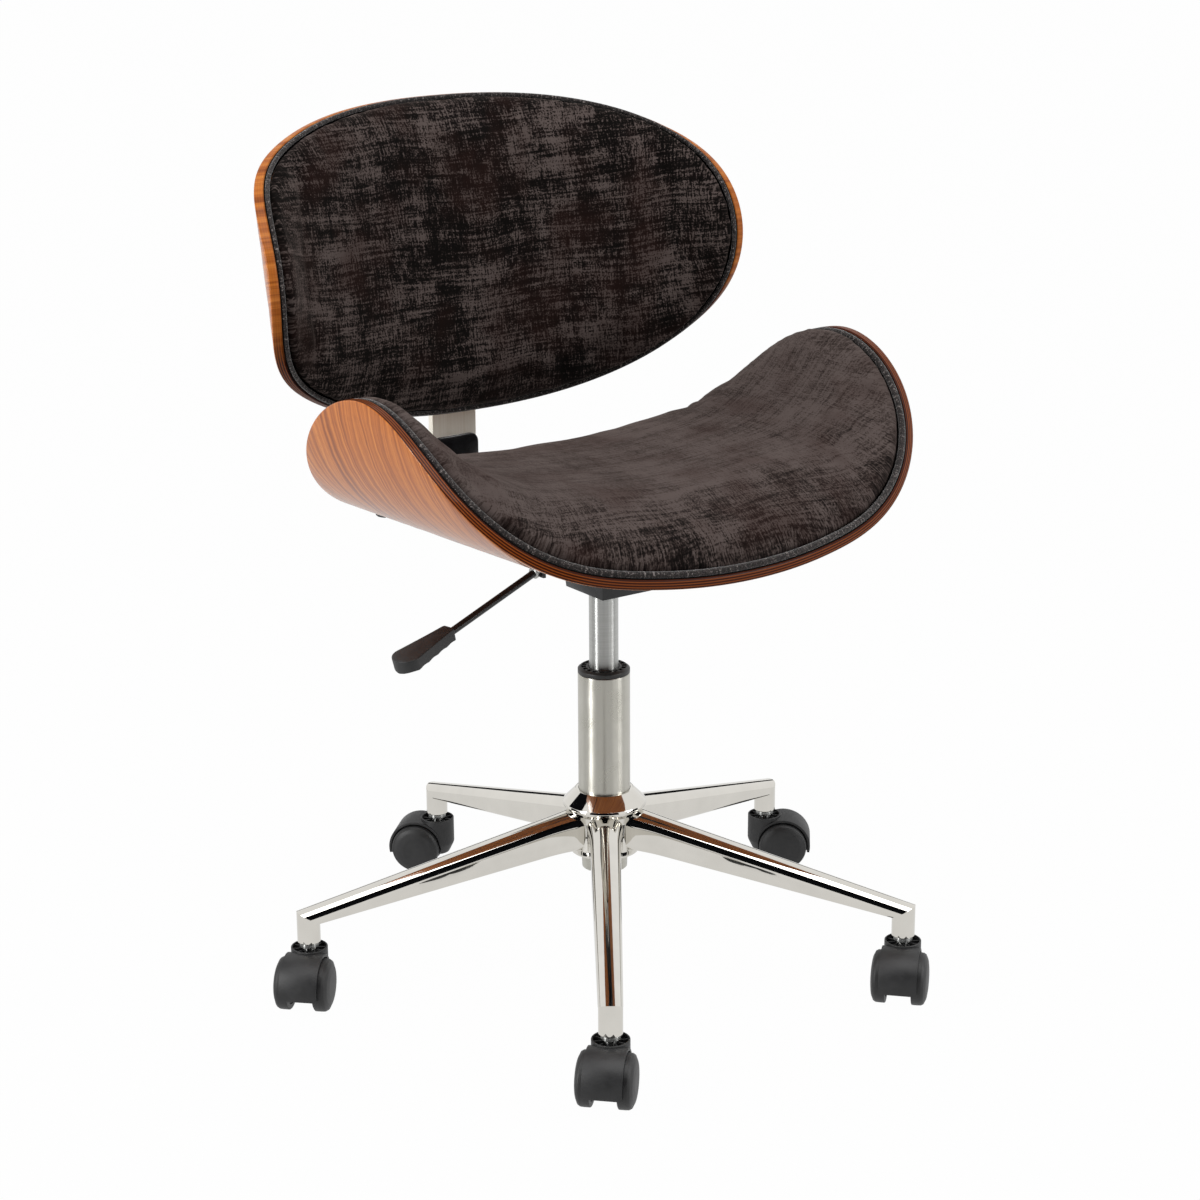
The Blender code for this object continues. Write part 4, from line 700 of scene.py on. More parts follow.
# Edge: core veneers about 1.2 mm thick, light and dark in turn across the sanded edge
depth = add_node(tree, "ShaderNodeSeparateXYZ", {"Vector": lay})
waver = add_node(tree, "ShaderNodeTexNoise", {"Vector": lay, "Scale": 40.0, "Detail": 3.0})
level = add_node(tree, "ShaderNodeMath", {0: depth.outputs["Z"], 1: 2700.0}, operation="MULTIPLY")
layer = add_node(tree, "ShaderNodeMath", {0: level.outputs[0], 1: waver.outputs["Fac"]},
                 operation="ADD")
wave = add_node(tree, "ShaderNodeMath", {0: layer.outputs[0]}, operation="SINE")
turned_up = add_node(tree, "ShaderNodeMapRange", {"Value": wave.outputs[0], 1: -1.0, 2: 1.0})
ply_tone = add_node(tree, "ShaderNodeValToRGB", {"Fac": turned_up.outputs[0]},
                    [(0.10, "#2c0c02"), (0.50, "#4f1e08"), (0.85, "#74350f"), (0.98, "#8f4c1a")])
from_middle = add_node(tree, "ShaderNodeMath", {0: depth.outputs["Z"], 1: PLY / 2},
                       operation="ADD")
# The face veneer underneath is 0.6 mm thick; above it the cut edge shows its core
inside_ply = add_node(tree, "ShaderNodeMapRange", {"Value": from_middle.outputs[0], 1: -0.0042,
                                                   2: -0.0036, 3: 0.0, 4: 1.0})
# The lacquer sinks into the cut edge and leaves it duller than the face
lacquer = add_node(tree, "ShaderNodeMapRange", {"Value": inside_ply.outputs[0], 3: 0.6, 4: 0.12})
# The back's edges, above 0.62 m, are coloured mostly like the face veneer, lighter than the seat's
spot = add_node(tree, "ShaderNodeSeparateXYZ", {
    "Vector": add_node(tree, "ShaderNodeTexCoord").outputs["Object"]})
back_edge_lighter = add_node(tree, "ShaderNodeMapRange", {"Value": spot.outputs["Z"], 1: 0.60, 2: 0.64,
                                                   3: 0.0, 4: 0.8})
edge_colour = add_node(tree, "ShaderNodeMix", {0: back_edge_lighter.outputs[0], 6: ply_tone.outputs["Color"],
                                           7: grained.outputs[2]}, data_type="RGBA")
wood = add_node(tree, "ShaderNodeMix", {0: inside_ply.outputs[0], 6: grained.outputs[2],
                                        7: edge_colour.outputs[2]}, data_type="RGBA")
rough = add_node(tree, "ShaderNodeMapRange", {"Value": dash.outputs["Fac"], 3: 0.38, 4: 0.55})
bump = add_node(tree, "ShaderNodeBump", {"Height": dash.outputs["Fac"], "Strength": 0.08,
                                         "Distance": 0.0002})
dress(tree, shader, Base_Color=wood.outputs[2], Coat_Weight=lacquer, Roughness=rough, Normal=bump)
fitted("seat_ply", bent(ply_piece(SEAT_SIZES, SEAT_POWERS), SEAT_BEND, on_seat), walnut, "seat",
       "walnut", "seat_shell", sharp=60)


# Seat pad: cut foam under crushed velvet, its cover drawn over the edge and stapled under the
# welt, so that it swells from a tight seam to a soft crown.
def pad_piece(sizes, powers, crown, wing_crown, edge, crown_powers, inset, welt):
    """Closed flat pad: crowned top, side drawn in under the seam, flat underside."""
    half = sizes[0]

    def crowned(share):
        def height(u):
            wing = min(abs(u) / half, 1.0) ** 2
            top = crown * (1 - wing) + wing_crown * wing
            swell = max(0.0, 1 - share ** crown_powers[0]) ** (1 / crown_powers[1])
            return edge + (top - edge) * swell
        return height

    over = 2 * welt + 0.0018
    tuck = tuple(max(drawn, 2 * welt + 0.0017) for drawn in inset)
    under = tuple(drawn + 0.0015 for drawn in tuck)
    shares = [0.03, 0.1, *np.linspace(0.18, 0.9, 16), 0.93, 0.955, 0.975, 0.99, 0.998]
    rings = [[(0, 0, crown)]]
    rings += [outline_ring(sizes, powers, inset, crowned(share), share, 240) for share in shares]
    rings.append(outline_ring(sizes, powers, inset, over + 0.4 * (edge - over), 1.0, 240))
    rings.append(outline_ring(sizes, powers, tuck, over, 1.0, 240))
    rings += [outline_ring(sizes, powers, under, 0.0006, share, 240)
              for share in (1.0, 0.9, 0.7, 0.5, 0.3, 0.1)]
    rings.append([(0, 0, 0.0006)])
    return skin(rings)


def sewn_pad(name, bm, bend, place, seam_height, cap, crush_and_sheen, finish, *nodes):
    """Let the cover swell over its foam as cloth, held at the seam, and keep its flat place."""
    pad = set_out(name, plain_mesh(name, bent(bm, bend, place)))
    bpy.context.view_layer.objects.active = pad

    def apply(step):
        with bpy.context.temp_override(object=pad, active_object=pad, selected_objects=[pad]):
            bpy.ops.object.modifier_apply(modifier=step.name)

    remesh = pad.modifiers.new("remesh", "REMESH")
    remesh.mode = "VOXEL"
    remesh.voxel_size = 0.006
    apply(remesh)
    count = len(pad.data.vertices)
    rest = np.empty(count * 3)
    pad.data.vertices.foreach_get("co", rest)
    rest = rest.reshape(-1, 3)
    back = np.array(place.inverted())
    local = rest @ back[:3, :3].T + back[:3, 3]
    height = flat_points(local, bend)[:, 2]
    held = pad.vertex_groups.new(name="held")
    for i in np.nonzero(height < seam_height)[0]:
        held.add([int(i)], 1.0, "REPLACE")
    cloth = pad.modifiers.new("cloth", "CLOTH")
    cloth.settings.quality = 6
    cloth.settings.mass = 0.4
    cloth.settings.tension_stiffness = 12
    cloth.settings.compression_stiffness = 12
    cloth.settings.bending_stiffness = 0.4
    cloth.settings.shrink_min = -0.012
    cloth.settings.use_pressure = True
    cloth.settings.uniform_pressure_force = 4
    cloth.settings.vertex_group_mass = "held"
    cloth.settings.effector_weights.gravity = 0
    cloth.collision_settings.use_collision = False
    for number in range(1, 21):
        bpy.context.scene.frame_set(number)
    apply(cloth)
    bpy.context.scene.frame_set(1)
    moved = np.empty(count * 3)
    pad.data.vertices.foreach_get("co", moved)
    shift = moved.reshape(-1, 3) - rest
    length = np.linalg.norm(shift, axis=1, keepdims=True)
    shift *= np.minimum(1, cap / np.maximum(length, 1e-9))
    pad.data.vertices.foreach_set("co", (rest + shift).ravel())
    smooth = pad.modifiers.new("smooth", "SMOOTH")
    smooth.factor = 0.5
    smooth.iterations = 2
    apply(smooth)
    finer = pad.modifiers.new("finer", "SUBSURF")
    finer.levels = finer.render_levels = 1
    apply(finer)
    bm = bmesh.new()
    bm.from_mesh(pad.data)
    bpy.data.objects.remove(pad)
    places = np.array([vert.co for vert in bm.verts])
    # Each point also keeps its crush and painted sheen value for the velvet
    bm.verts.layers.float_vector.new("flat")
    bm.verts.layers.float.new("crush_and_sheen")
    lay_layer = bm.verts.layers.float_vector["flat"]
    crush_and_sheen_layer = bm.verts.layers.float["crush_and_sheen"]
    for vert, spot in zip(bm.verts, flat_points(places @ back[:3, :3].T + back[:3, 3], bend)):
        vert[lay_layer] = Vector(spot)
        vert[crush_and_sheen_layer] = crush_and_sheen(spot[0], spot[1])
    piece = fitted(name, bm, finish, "seat", "velvet", *nodes, sharp=80)
    return piece


# Crushed velvet: pile 1 mm high, flattened in short bands along and across the weave, so that
# it shows dark cross-hatched patches in a charcoal-brown ground with a soft grazing sheen
velvet, tree, shader = new_finish("crushed_velvet", Sheen_Weight=0.22, Sheen_Roughness=0.35,
                                  Specular_IOR_Level=0.08, Roughness=0.9)
shader.inputs["Sheen Tint"].default_value = shade("#b8a59d")
lay = add_node(tree, "ShaderNodeAttribute", attribute_name="flat").outputs["Vector"]
sway = add_node(tree, "ShaderNodeTexNoise", {"Vector": lay, "Scale": 7.0, "Detail": 1.0})
shift = add_node(tree, "ShaderNodeVectorMath", {0: sway.outputs["Color"], 1: (0.020, 0.020, 0.0)},
                 operation="MULTIPLY")
thread = add_node(tree, "ShaderNodeVectorMath", {0: lay, 1: shift.outputs[0]}, operation="ADD")
bands = []
# Each row: pattern's scale along and across the weave per metre, its detail and its share
for along, across, detail, share in ((20.0, 330.0, 3.0, 1.05), (520.0, 80.0, 3.0, 1.20),
                                     (13.0, 17.0, 3.0, 0.85), (62.0, 7.0, 2.0, 0.55),
                                     (6.0, 60.0, 3.0, 0.70), (560.0, 560.0, 2.0, 1.20)):
    scaled = add_node(tree, "ShaderNodeMapping", {"Vector": thread.outputs[0],
                                                  "Location": (along, across, 0.0),
                                                  "Scale": (along, across, 0.0)})
    band = add_node(tree, "ShaderNodeTexNoise", {"Vector": scaled.outputs[0], "Scale": 1.0,
                                                 "Detail": detail, "Roughness": 0.62})
    even = add_node(tree, "ShaderNodeMath", {0: band.outputs["Fac"], 1: 0.5}, operation="SUBTRACT")
    part = add_node(tree, "ShaderNodeMath", {0: even.outputs[0], 1: share}, operation="MULTIPLY")
    if bands:
        part = add_node(tree, "ShaderNodeMath", {0: bands[-1].outputs[0], 1: part.outputs[0]},
                        operation="ADD")
    bands.append(part)
# Crush and painted sheen: it scales the crushed pattern's contrast, and low values add a painted
# sheen that lifts the velvet lighter; high values, as on the back, paint it darker
crush_and_sheen = add_node(tree, "ShaderNodeAttribute", attribute_name="crush_and_sheen").outputs["Fac"]
crushed = add_node(tree, "ShaderNodeMath", {0: bands[-1].outputs[0], 1: crush_and_sheen}, operation="MULTIPLY")
painted_sheen_lift = add_node(tree, "ShaderNodeMapRange", {"Value": crush_and_sheen, 3: 0.16, 4: -0.075})
crush_and_painted_sheen = add_node(tree, "ShaderNodeMath", {0: crushed.outputs[0], 1: painted_sheen_lift.outputs[0]},
                   operation="ADD")
# Tufts of the pile, 0.3 mm apart on the cloth and drawn 1.1 mm apart so that they show
pile = add_node(tree, "ShaderNodeTexNoise", {"Vector": lay, "Scale": 900.0, "Detail": 2.0})
tufts = add_node(tree, "ShaderNodeMapRange", {"Value": pile.outputs["Fac"], 1: 0.3, 2: 0.7,
                                              3: -0.035, 4: 0.035})
tufted = add_node(tree, "ShaderNodeMath", {0: crush_and_painted_sheen.outputs[0], 1: tufts.outputs[0]},
                  operation="ADD")
tone = add_node(tree, "ShaderNodeMapRange", {"Value": tufted.outputs[0], 1: -0.15, 2: 0.13})
neutral = add_node(tree, "ShaderNodeValToRGB", {"Fac": tone.outputs[0]},
                   [(0.0, "#050302"), (0.28, "#0e0908"), (0.50, "#27201e"), (0.76, "#3f3633"),
                    (1.0, "#554b48")])
# Dye lots: parts 60 mm across that lean to a red brown
dye = add_node(tree, "ShaderNodeTexNoise", {"Vector": lay, "Scale": 16.0, "Detail": 3.0})
warm = add_node(tree, "ShaderNodeMapRange", {"Value": dye.outputs["Fac"], 1: 0.48, 2: 0.68, 3: 0.0,
                                             4: 0.40})
colour = add_node(tree, "ShaderNodeMix", {0: warm.outputs[0], 6: neutral.outputs["Color"],
                                          7: shade("#2b1814")}, data_type="RGBA")
hairs = add_node(tree, "ShaderNodeMath", {0: pile.outputs["Fac"], 1: tone.outputs[0]},
                 operation="ADD")
bump = add_node(tree, "ShaderNodeBump", {"Height": hairs.outputs[0], "Strength": 0.4,
                                         "Distance": 0.0005})
dress(tree, shader, Base_Color=colour.outputs[2], Normal=bump)


def seat_crush_and_sheen(u, v):
    """How far the pile is crushed, most along the front, and its painted sheen: lower values paint
    the seat's middle and wings lighter and plainer.
    """
    front = min(max((-0.115 - v) / 0.08, 0.0), 1.0)
    wing = min(max((abs(u) - 0.20) / 0.09, 0.0), 1.0)
    return (0.28 + 0.34 * front) * (1 - 0.12 * wing)


SEAT_WELT = 0.0031
sewn_pad("seat_cushion",
         pad_piece(SEAT_SIZES, SEAT_POWERS, 0.058, 0.046, 0.0135, (4.5, 1.8),
                   (0.0010, 0.0070), SEAT_WELT),
         SEAT_BEND, on_seat, 0.009, 0.005, seat_crush_and_sheen, velvet, "seat_pad")


# Welt: a cord sewn into a strip of the same velvet, laid round the ply's edge to hide the
# staples of the cover.
welt_cloth, tree, shader = new_finish("welt_cord", Sheen_Weight=0.5, Sheen_Roughness=0.4,
                                      Specular_IOR_Level=0.2, Roughness=0.8)
lay = add_node(tree, "ShaderNodeAttribute", attribute_name="along").outputs["Fac"]
spot = add_node(tree, "ShaderNodeTexCoord").outputs["Object"]
# Gathers every 3 mm along the cord, and specks 1.6 mm across where the pile parts
gather = add_node(tree, "ShaderNodeTexNoise", {"W": lay, "Scale": 330.0, "Detail": 2.0},
                  noise_dimensions="1D")
slight = add_node(tree, "ShaderNodeMath", {0: gather.outputs["Fac"], 1: 0.35},
                  operation="MULTIPLY")
speck = add_node(tree, "ShaderNodeTexNoise", {"Vector": spot, "Scale": 620.0, "Detail": 2.0,
                                              "Roughness": 0.75})
both = add_node(tree, "ShaderNodeMath", {0: slight.outputs[0], 1: speck.outputs["Fac"]},
                operation="ADD")
fleck = add_node(tree, "ShaderNodeMapRange", {"Value": both.outputs[0], 1: 0.52, 2: 0.84})
colour = add_node(tree, "ShaderNodeValToRGB", {"Fac": fleck.outputs[0]},
                  [(0.0, "#0b0908"), (0.4, "#1f1a19"), (0.7, "#332d2b"), (0.88, "#4e4745"),
                   (1.0, "#857e7b")])
bump = add_node(tree, "ShaderNodeBump", {"Height": both.outputs[0], "Strength": 0.8,
                                         "Distance": 0.0010})
dress(tree, shader, Base_Color=colour, Normal=bump)
welt_rule, given, result = new_rule("welt_round_an_edge", Radius=SEAT_WELT, Sides=16)
line = add_node(welt_rule, "GeometryNodeMeshToCurve", {"Mesh": given.outputs["Geometry"]})
where = add_node(welt_rule, "GeometryNodeSplineParameter")
marked = add_node(welt_rule, "GeometryNodeStoreNamedAttribute",
                  {"Geometry": line.outputs["Curve"], "Name": "along",
                   "Value": where.outputs["Length"]}, domain="POINT")
section = add_node(welt_rule, "GeometryNodeCurvePrimitiveCircle",
                   {"Resolution": given.outputs["Sides"], "Radius": given.outputs["Radius"]})
cord = add_node(welt_rule, "GeometryNodeCurveToMesh", {"Curve": marked.outputs["Geometry"],
                                                       "Profile Curve": section.outputs["Curve"]})
close_rule(welt_rule, result, cord.outputs["Mesh"], welt_cloth)


def welt_line(sizes, powers, bend, place, radius):
    """Closed line of the welt's middle, just inside the ply's edge."""
    flat = np.array(outline_ring(sizes, powers, radius + 0.0005, radius + 0.0009, 1.0, 720))
    points = [place @ Vector(point) for point in bend_points(flat, bend)]
    mesh = bpy.data.meshes.new("welt_line")
    count = len(points)
    mesh.from_pydata(points, [(i, (i + 1) % count) for i in range(count)], [])
    return mesh


def tacked_margin(name, sizes, powers, bend, place, inner, outer):
    """Lay the cover's raw margin flat on the ply, from under the pad to under the welt, near black
    as painted shade in the gap between them.
    """
    section = ((inner, 0.0002), (outer, 0.0002), (outer, 0.0012), (inner, 0.0014))
    rings = [outline_ring(sizes, powers, inset, height, 1.0, 240) for inset, height in section]
    return fitted(name, bent(skin(rings, joined=True), bend, place), cover_back_painted_shade, "seat", "velvet",
                  sharp=60)


# Woven polyester backing of the velvet, with threads 1 mm apart, painted near black as the shade
# in the gap between pad and welt
cover_back_painted_shade, tree, shader = new_finish("cover_backing_painted_shade", Roughness=0.95,
                                      Specular_IOR_Level=0.1)
lay = add_node(tree, "ShaderNodeAttribute", attribute_name="flat").outputs["Vector"]
weave = add_node(tree, "ShaderNodeTexNoise", {"Vector": lay, "Scale": 1200.0, "Detail": 1.0})
colour = add_node(tree, "ShaderNodeValToRGB", {"Fac": weave.outputs["Fac"]},
                  [(0.3, "#060504"), (0.7, "#131010")])
dress(tree, shader, Base_Color=colour)
tacked_margin("seat_margin", SEAT_SIZES, SEAT_POWERS, SEAT_BEND, on_seat, 0.0140, 0.0012)
follow_rule("seat_welt", welt_rule,
            welt_line(SEAT_SIZES, SEAT_POWERS, SEAT_BEND, on_seat, SEAT_WELT), welt_cloth,
            "seat", "welt", "seat_piping", sharp=80, Radius=SEAT_WELT)


# Back: the same build as the seat, a bent walnut shell with a thinner pad and a finer welt,
# leaning back on the chrome bar.
BACK_SIZES = (0.3058, 0.1540, 0.1562)
BACK_POWERS = (2.27, 1.99)
BACK_BEND = (0.1851, 0.3423, 0.3957, 1.4764)
BACK_BEHIND = 0.2493
BACK_Z = 0.6608
LEAN_DEGREES = 10.97
LEAN = math.radians(LEAN_DEGREES)
on_back = (Matrix.Translation((0, COLUMN_Y + BACK_BEHIND, BACK_Z))
           @ Matrix.Rotation(math.radians(90 - LEAN_DEGREES), 4, "X"))
fitted("back_ply", bent(ply_piece(BACK_SIZES, BACK_POWERS), BACK_BEND, on_back), walnut, "seat",
       "walnut", "back_shell", sharp=60)
BACK_WELT = 0.0022
# The back's pile gets one high value: a strong crushed pattern, painted darker, with none of the
# seat's painted sheen
sewn_pad("back_cushion",
         pad_piece(BACK_SIZES, BACK_POWERS, 0.031, 0.021, 0.0115, (3.5, 2.0),
                   (0.0022, 0.0022), BACK_WELT),
         BACK_BEND, on_back, 0.008, 0.004, lambda u, v: 0.87, velvet, "back_pad")
tacked_margin("back_margin", BACK_SIZES, BACK_POWERS, BACK_BEND, on_back, 0.0100, 0.0010)
follow_rule("back_welt", welt_rule,
            welt_line(BACK_SIZES, BACK_POWERS, BACK_BEND, on_back, BACK_WELT), welt_cloth,
            "seat", "welt", "back_piping", sharp=80, Radius=BACK_WELT)


# Back bar: 52 x 8 mm steel flat, bent up behind the seat and laid back along the backrest,
# brushed and chrome plated; it carries the back on two bolts.
BAR_HALF = 0.004
BAR_WIDE_HALF = 0.0260
BAR_TOP = 0.0850
PLATE = 0.0030
GAP = 0.0003


def under_seat(y, drop):
    """Height below the seat's ply, on its middle line, at y from the column's axis."""
    along = (y + SEAT_AHEAD + PLY * math.sin(PITCH)) / math.cos(PITCH)
    return SEAT_Z - along * math.sin(PITCH) - PLY * math.cos(PITCH) - drop / math.cos(PITCH)


def bar_section(half_width, half, corner):
    """Flat bar's section with eased corners."""
    corners = [(-half_width, -half, corner), (half_width, -half, corner),
               (half_width, half, corner), (-half_width, half, corner)]
    return [(p.x, p.y) for p in eased(corners, closed=True, steps=4)]


# Only 40 % of the finish is metal: the rest is a near-white diffuse colour, a painted reflection
# of the bright studio on the brushed chrome
satin_chrome_painted_bright, tree, shader = new_finish("satin_chrome_painted_bright", Metallic=0.4)
spot = add_node(tree, "ShaderNodeTexCoord").outputs["Object"]
# Brushed along the bar: scratches 1 mm apart, drawn coarser than the real 0.1 mm
pulled = add_node(tree, "ShaderNodeMapping", {"Vector": spot, "Scale": (900.0, 9.0, 9.0)})
brush = add_node(tree, "ShaderNodeTexNoise", {"Vector": pulled.outputs[0], "Scale": 1.0,
                                              "Detail": 2.0})
tint = add_node(tree, "ShaderNodeValToRGB", {"Fac": brush.outputs["Fac"]},
                [(0.3, "#f0eadb"), (0.7, "#faf6ea")])
rough = add_node(tree, "ShaderNodeMapRange", {"Value": brush.outputs["Fac"], 3: 0.30, 4: 0.42})
dress(tree, shader, Base_Color=tint, Roughness=rough)
bar_drop = PLATE + 2 * GAP + BAR_HALF
upright_y = 0.2577 + BAR_HALF
behind = PLY + GAP + BAR_HALF
top_y = BACK_BEHIND + BAR_TOP * math.sin(LEAN) + behind * math.cos(LEAN)
top_z = BACK_Z + BAR_TOP * math.cos(LEAN) - behind * math.sin(LEAN)
kink_z = top_z - (top_y - upright_y) / math.tan(LEAN)
bar_corners = [(0.0700, under_seat(0.0700, bar_drop), 0),
               (upright_y, under_seat(upright_y, bar_drop), 0.036), (upright_y, kink_z, 0.080),
               (top_y, top_z, 0)]
bar_path = [Vector((0, p.x, p.y)) for p in eased(bar_corners, steps=14)]
fitted("back_upright", swept(bar_path, Vector((1, 0, 0)),
                             [bar_section(BAR_WIDE_HALF, BAR_HALF, 0.0012)] * len(bar_path)),
       satin_chrome_painted_bright, "seat", "chrome", "back_bar", place=on_column)


# Bar cover: a moulded nylon sleeve pushed over the bar's bend, with rounded corners.
cover_corners = [(0.2100, under_seat(0.2100, bar_drop), 0),
                 (upright_y, under_seat(upright_y, bar_drop), 0.036), (upright_y, 0.4770, 0)]
cover_path = [Vector((0, p.x, p.y)) for p in eased(cover_corners, steps=14)]
first_step = (cover_path[1] - cover_path[0]).normalized()
last_step = (cover_path[-1] - cover_path[-2]).normalized()
CORNER = 0.0100
turns = [CORNER * (1 - math.sin(a)) for a in np.radians(np.linspace(0, 86, 10))]
cover_path = ([cover_path[0] + first_step * d for d in (0.0, 0.0006, 0.0022)] + cover_path[1:-1]
              + [cover_path[-1] - last_step * d for d in turns] + [cover_path[-1]])
cover_sections = []
for i in range(len(cover_path)):
    drawn = {0: 0.0014, 1: 0.0005, len(cover_path) - 1: 0.0016}.get(i, 0)
    from_top = (cover_path[-1] - cover_path[i]).length
    corner = CORNER - math.sqrt(max(CORNER ** 2 - max(CORNER - from_top, 0) ** 2, 0))
    cover_sections.append(bar_section(0.0272 - corner - min(drawn, 0.0005),
                                      BAR_HALF + 0.0026 - drawn, 0.0016))
# Nylon from a polished mould: nearly black and glossy, with a haze of handling 8 mm across
gloss_nylon, tree, shader = new_finish("polished_mould_nylon", Roughness=0.2)
spot = add_node(tree, "ShaderNodeTexCoord").outputs["Object"]
haze = add_node(tree, "ShaderNodeTexNoise", {"Vector": spot, "Scale": 120.0, "Detail": 4.0})
tint = add_node(tree, "ShaderNodeValToRGB", {"Fac": haze.outputs["Fac"]},
                [(0.3, "#0c0d0f"), (0.75, "#191a1d")])
rough = add_node(tree, "ShaderNodeMapRange", {"Value": haze.outputs["Fac"], 3: 0.14, 4: 0.26})
dress(tree, shader, Base_Color=tint, Roughness=rough)
fitted("bend_cover", swept(cover_path, Vector((1, 0, 0)), cover_sections), gloss_nylon, "seat",
       "black_nylon", "bar_sleeve", place=on_column, sharp=60)


# Bolts: M8 button heads with hexagon sockets, black oxide finish, that clamp the plate, the
# bar and the back.
# Black oxide under oil leaves dark steel with a soft bloom 3 mm across
black_oxide, tree, shader = new_finish("black_oxide_steel", Metallic=1.0)
spot = add_node(tree, "ShaderNodeTexCoord").outputs["Object"]
bloom = add_node(tree, "ShaderNodeTexNoise", {"Vector": spot, "Scale": 380.0, "Detail": 4.0})
tint = add_node(tree, "ShaderNodeValToRGB", {"Fac": bloom.outputs["Fac"]},
                [(0.35, "#38383a"), (0.7, "#55565a")])
rough = add_node(tree, "ShaderNodeMapRange", {"Value": bloom.outputs["Fac"], 3: 0.30, 4: 0.50})
dress(tree, shader, Base_Color=tint, Roughness=rough)


def bolt_head():
    """Button head down from its face at the origin, with its shank above."""
    def hexagon(radius, height):
        ring = []
        for i in range(48):
            turn = 2 * math.pi * i / 48
            reach = radius / math.cos((turn + math.pi / 6) % (math.pi / 3) - math.pi / 6)
            ring.append((reach * math.cos(turn), reach * math.sin(turn), height))
        return ring

    def circle(radius, height):
        return [(x, y, height) for x, y in round_section(radius, 48)]

    return skin([[(0, 0, 0.010)], circle(0.0040, 0.010), circle(0.0040, 0), circle(0.0074, 0),
                 circle(0.0075, -0.0002), circle(0.0075, -0.0013), circle(0.0071, -0.0024),
                 circle(0.0060, -0.0035), circle(0.0045, -0.0041), circle(0.0035, -0.0042),
                 hexagon(0.0025, -0.0042), hexagon(0.0024, -0.0040), hexagon(0.0024, -0.0016),
                 [(0, 0, -0.0012)]])


head_mesh = plain_mesh("bolt_head", bolt_head())
head_mesh.materials.append(black_oxide)
head_carrier = bpy.data.objects.new("bolt_head_carrier", head_mesh)
bolt_rule, given, result = new_rule("bolts_on_points", Scale=1.0)
head_info = add_node(bolt_rule, "GeometryNodeObjectInfo", {"Object": head_carrier})
bolts = add_node(bolt_rule, "GeometryNodeInstanceOnPoints",
                 {"Points": given.outputs["Geometry"], "Instance": head_info.outputs["Geometry"],
                  "Scale": given.outputs["Scale"]})
close_rule(bolt_rule, result, bolts.outputs["Instances"], black_oxide)


def points_mesh(points):
    """Mesh of loose points, one for each bolt."""
    mesh = bpy.data.meshes.new("bolt_points")
    mesh.from_pydata(points, [], [])
    return mesh


plate_low = -PLY - GAP - PLATE
bar_low = plate_low - GAP - 2 * BAR_HALF
seat_bolts = [(x, y + SEAT_AHEAD, plate_low - GAP)
              for y in (-0.082, 0.082) for x in (-0.045, 0.045)]
bar_bolts = [(0, y + SEAT_AHEAD, bar_low - GAP) for y in (0.084, 0.150)]
follow_rule("seat_and_bar_bolts", bolt_rule, points_mesh(seat_bolts + bar_bolts), black_oxide,
            "seat", "dark_steel", "seat_bolt_1", "seat_bolt_2", "seat_bolt_3", "seat_bolt_4",
            "bar_bolt_1", "bar_bolt_2", place=on_seat)
back_bolts = [(0, v, -PLY - 2 * GAP - 2 * BAR_HALF) for v in (0.025, 0.065)]
follow_rule("back_bolts", bolt_rule, points_mesh(back_bolts), black_oxide, "seat", "dark_steel",
            "back_bolt_1", "back_bolt_2", place=on_back)
bpy.data.objects.remove(head_carrier)


# Cap screws: two black nylon covers over the screws that hold the pad near its rear corners.
CAP_ALONG = 0.140
cap_lay = np.array([[CAP_ALONG, 0.165 + SEAT_AHEAD, -PLY - GAP]])
cap_spot = bend_points(cap_lay, SEAT_BEND)[0]
cap_curve = ply_curve(SEAT_BEND)
cap_angle = float(np.interp(CAP_ALONG, cap_curve[0], cap_curve[3]))
cap_profile = [(0.0, PLY * 0.9), (0.0025, PLY * 0.9), (0.0025, 0.0), (0.0068, 0.0),
               (0.0070, -0.0003), (0.0070, -0.0022), (0.0067, -0.0040), (0.0058, -0.0056),
               (0.0040, -0.0067), (0.0, -0.0070)]
for name, side in (("left", 1), ("right", -1)):
    stand = (Matrix.Translation((side * cap_spot[0], cap_spot[1], cap_spot[2]))
             @ Matrix.Rotation(-side * cap_angle, 4, "Y"))
    fitted(f"screw_cover_{name}", turned(cap_profile, 40), moulded_nylon, "seat", "black_nylon",
           f"cap_screw_{name}", place=on_seat @ stand, sharp=50)


# Casters: twin nylon wheels on a steel axle, under a moulded hood whose round boss has an open
# ribbed cup, on a steel stem that presses into the leg.
AXLE = (0.020, 0.025)
CASTER_TURNS = (-39.4, 135.1, 225.6, 224.6, 223.1)
RIBS = 10
RIB_INNER = 0.0072
RIB_OUTER = 0.0163
BAND_OUTER = 0.0288
POCKET_RADIUS = 0.0263
TYRE_INNER = 0.0117


def caster_place(index):
    """Where a caster stands, turned as it stands in the photograph."""
    direction = math.radians(LEG_TURN + 72 * index)
    foot = Matrix.Translation((LEG_REACH * math.cos(direction),
                               LEG_REACH * math.sin(direction), 0))
    return on_column @ foot @ Matrix.Rotation(math.radians(CASTER_TURNS[index]), 4, "Z")


